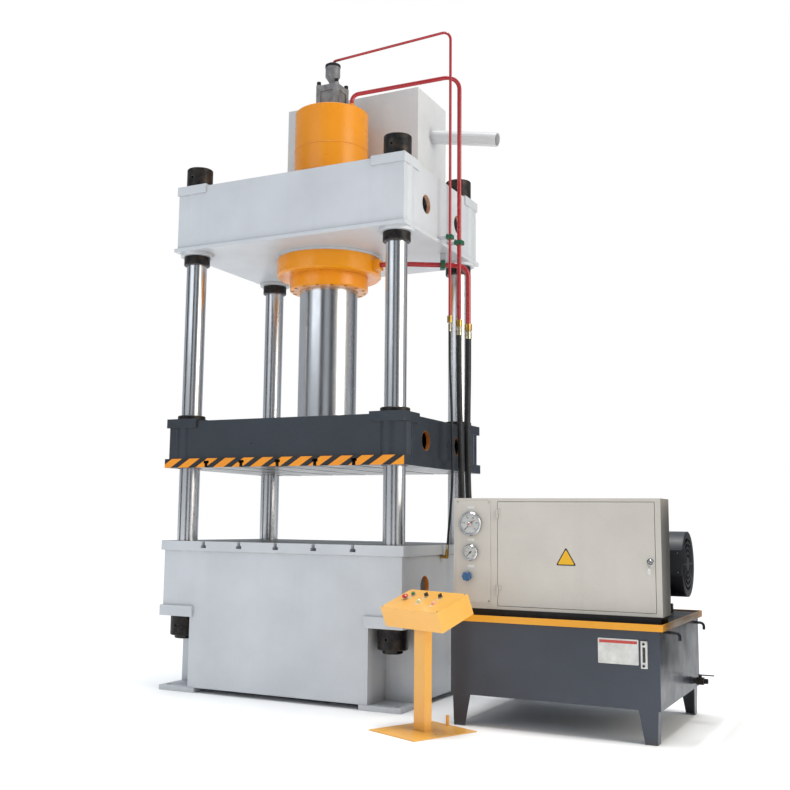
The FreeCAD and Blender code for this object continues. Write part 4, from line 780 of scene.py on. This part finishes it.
# ------------------------------------------------------------------- stage
# A pale floor and soft studio light: a bright warm panel on the right, a cool broad one in front,
# and dark flags out of sight that give the chrome its bands.
floor_finish = Finish("floor")
PALE, PALER = (0.95, 0.95, 0.95, 1), (0.97, 0.97, 0.97, 1)
floor_finish.wear(Base_Color=floor_finish.mixed(floor_finish.noise(0.6, 3.0), PALER, PALE),
                  Roughness=floor_finish.span(floor_finish.noise(3.0), 0.3, 0.7, 0.6, 0.8))
FLOOR = 60.0
rows = np.linspace(-FLOOR, FLOOR, 3)
floor_points = np.stack([*np.meshgrid(rows, rows, indexing="ij"), np.zeros((3, 3))], -1)
floor_mesh = bpy.data.meshes.new("floor")
floor_mesh.from_pydata(floor_points.reshape(-1, 3).tolist(), [], net(3, 3, False)[:, ::-1].tolist())
floor_mesh.materials.append(floor_finish.material)
floor = bpy.data.objects.new("floor", floor_mesh)
floor.location.z = -0.0005
bpy.context.scene.collection.objects.link(floor)

world = bpy.data.worlds.new("studio")
bpy.context.scene.world = world
world.use_nodes = True
sky = world.node_tree
backdrop = sky.nodes["Background"]
backdrop.inputs["Color"].default_value = (0.86, 0.93, 1.0, 1.0)
backdrop.inputs["Strength"].default_value = 0.50
seen = sky.nodes.new("ShaderNodeBackground")
seen.inputs["Color"].default_value = (1.0, 1.0, 1.0, 1.0)
seen.inputs["Strength"].default_value = 1.0
rays = sky.nodes.new("ShaderNodeLightPath")
choose = sky.nodes.new("ShaderNodeMixShader")
sky.links.new(rays.outputs["Is Camera Ray"], choose.inputs[0])
sky.links.new(backdrop.outputs[0], choose.inputs[1])
sky.links.new(seen.outputs[0], choose.inputs[2])
sky.links.new(choose.outputs[0], sky.nodes["World Output"].inputs[0])


def light_panel(name, place, target, width, height, watts, colour):
    panel = bpy.data.lights.new(name, "AREA")
    panel.shape = "RECTANGLE"
    panel.size, panel.size_y = width, height
    panel.energy = watts
    panel.color = colour
    holder = bpy.data.objects.new(name, panel)
    holder.location = place
    holder.rotation_mode = "QUATERNION"
    holder.rotation_quaternion = (Vector(target) - Vector(place)).to_track_quat("-Z", "Y")
    bpy.context.scene.collection.objects.link(holder)


light_panel("warm_right", (9.0, -1.0, 4.6), (0.5, 0.0, 2.0), 5.0, 6.0, 360.0, (1.0, 0.93, 0.80))
light_panel("cool_front", (-3.0, -9.0, 6.0), (0.0, 0.0, 2.2), 7.0, 4.0, 90.0, (0.90, 0.95, 1.0))
overhead = bpy.data.lights.new("overhead", "SUN")
overhead.energy, overhead.angle = 2.3, math.radians(24)
bpy.context.scene.collection.objects.link(bpy.data.objects.new("overhead", overhead))

flag_cloth = Finish("flag_black")
flag_cloth.wear(Base_Color=flag_cloth.mixed(flag_cloth.noise(3.0), (0.012, 0.012, 0.012, 1), (0.02, 0.02, 0.02, 1)),
                Roughness=0.9, Specular_IOR_Level=0.0)


def flag(name, foot, across, height, shades):
    """An upright dark cloth out of the camera's sight, from a low corner along a level run."""
    corner, run = np.array(foot), np.array([*across, 0.0])
    up = np.array([0.0, 0.0, height])
    rows = [corner + run * i + up * j for i in (0.0, 0.5, 1.0) for j in (0.0, 0.5, 1.0)]
    mesh = bpy.data.meshes.new(name)
    mesh.from_pydata([row.tolist() for row in rows], [], net(3, 3, False).tolist())
    mesh.materials.append(flag_cloth.material)
    cloth = bpy.data.objects.new(name, mesh)
    cloth.visible_camera = False
    cloth.visible_diffuse = cloth.visible_shadow = shades
    bpy.context.scene.collection.objects.link(cloth)


flag("unit_flag", (3.02, -0.86, 0.32), (0.0, 1.28), 1.22, True)
for number, bearing in enumerate((-46.0, -84.0, -150.0, 62.0)):
    out = math.radians(bearing)
    side = (-2.6 * math.sin(out), 2.6 * math.cos(out))
    foot = (9.0 * math.cos(out) - side[0] / 2, 9.0 * math.sin(out) - side[1] / 2, 0.0)
    flag(f"tall_flag_{number}", foot, side, 7.0, False)

bpy.context.scene.view_settings.view_transform = "Standard"
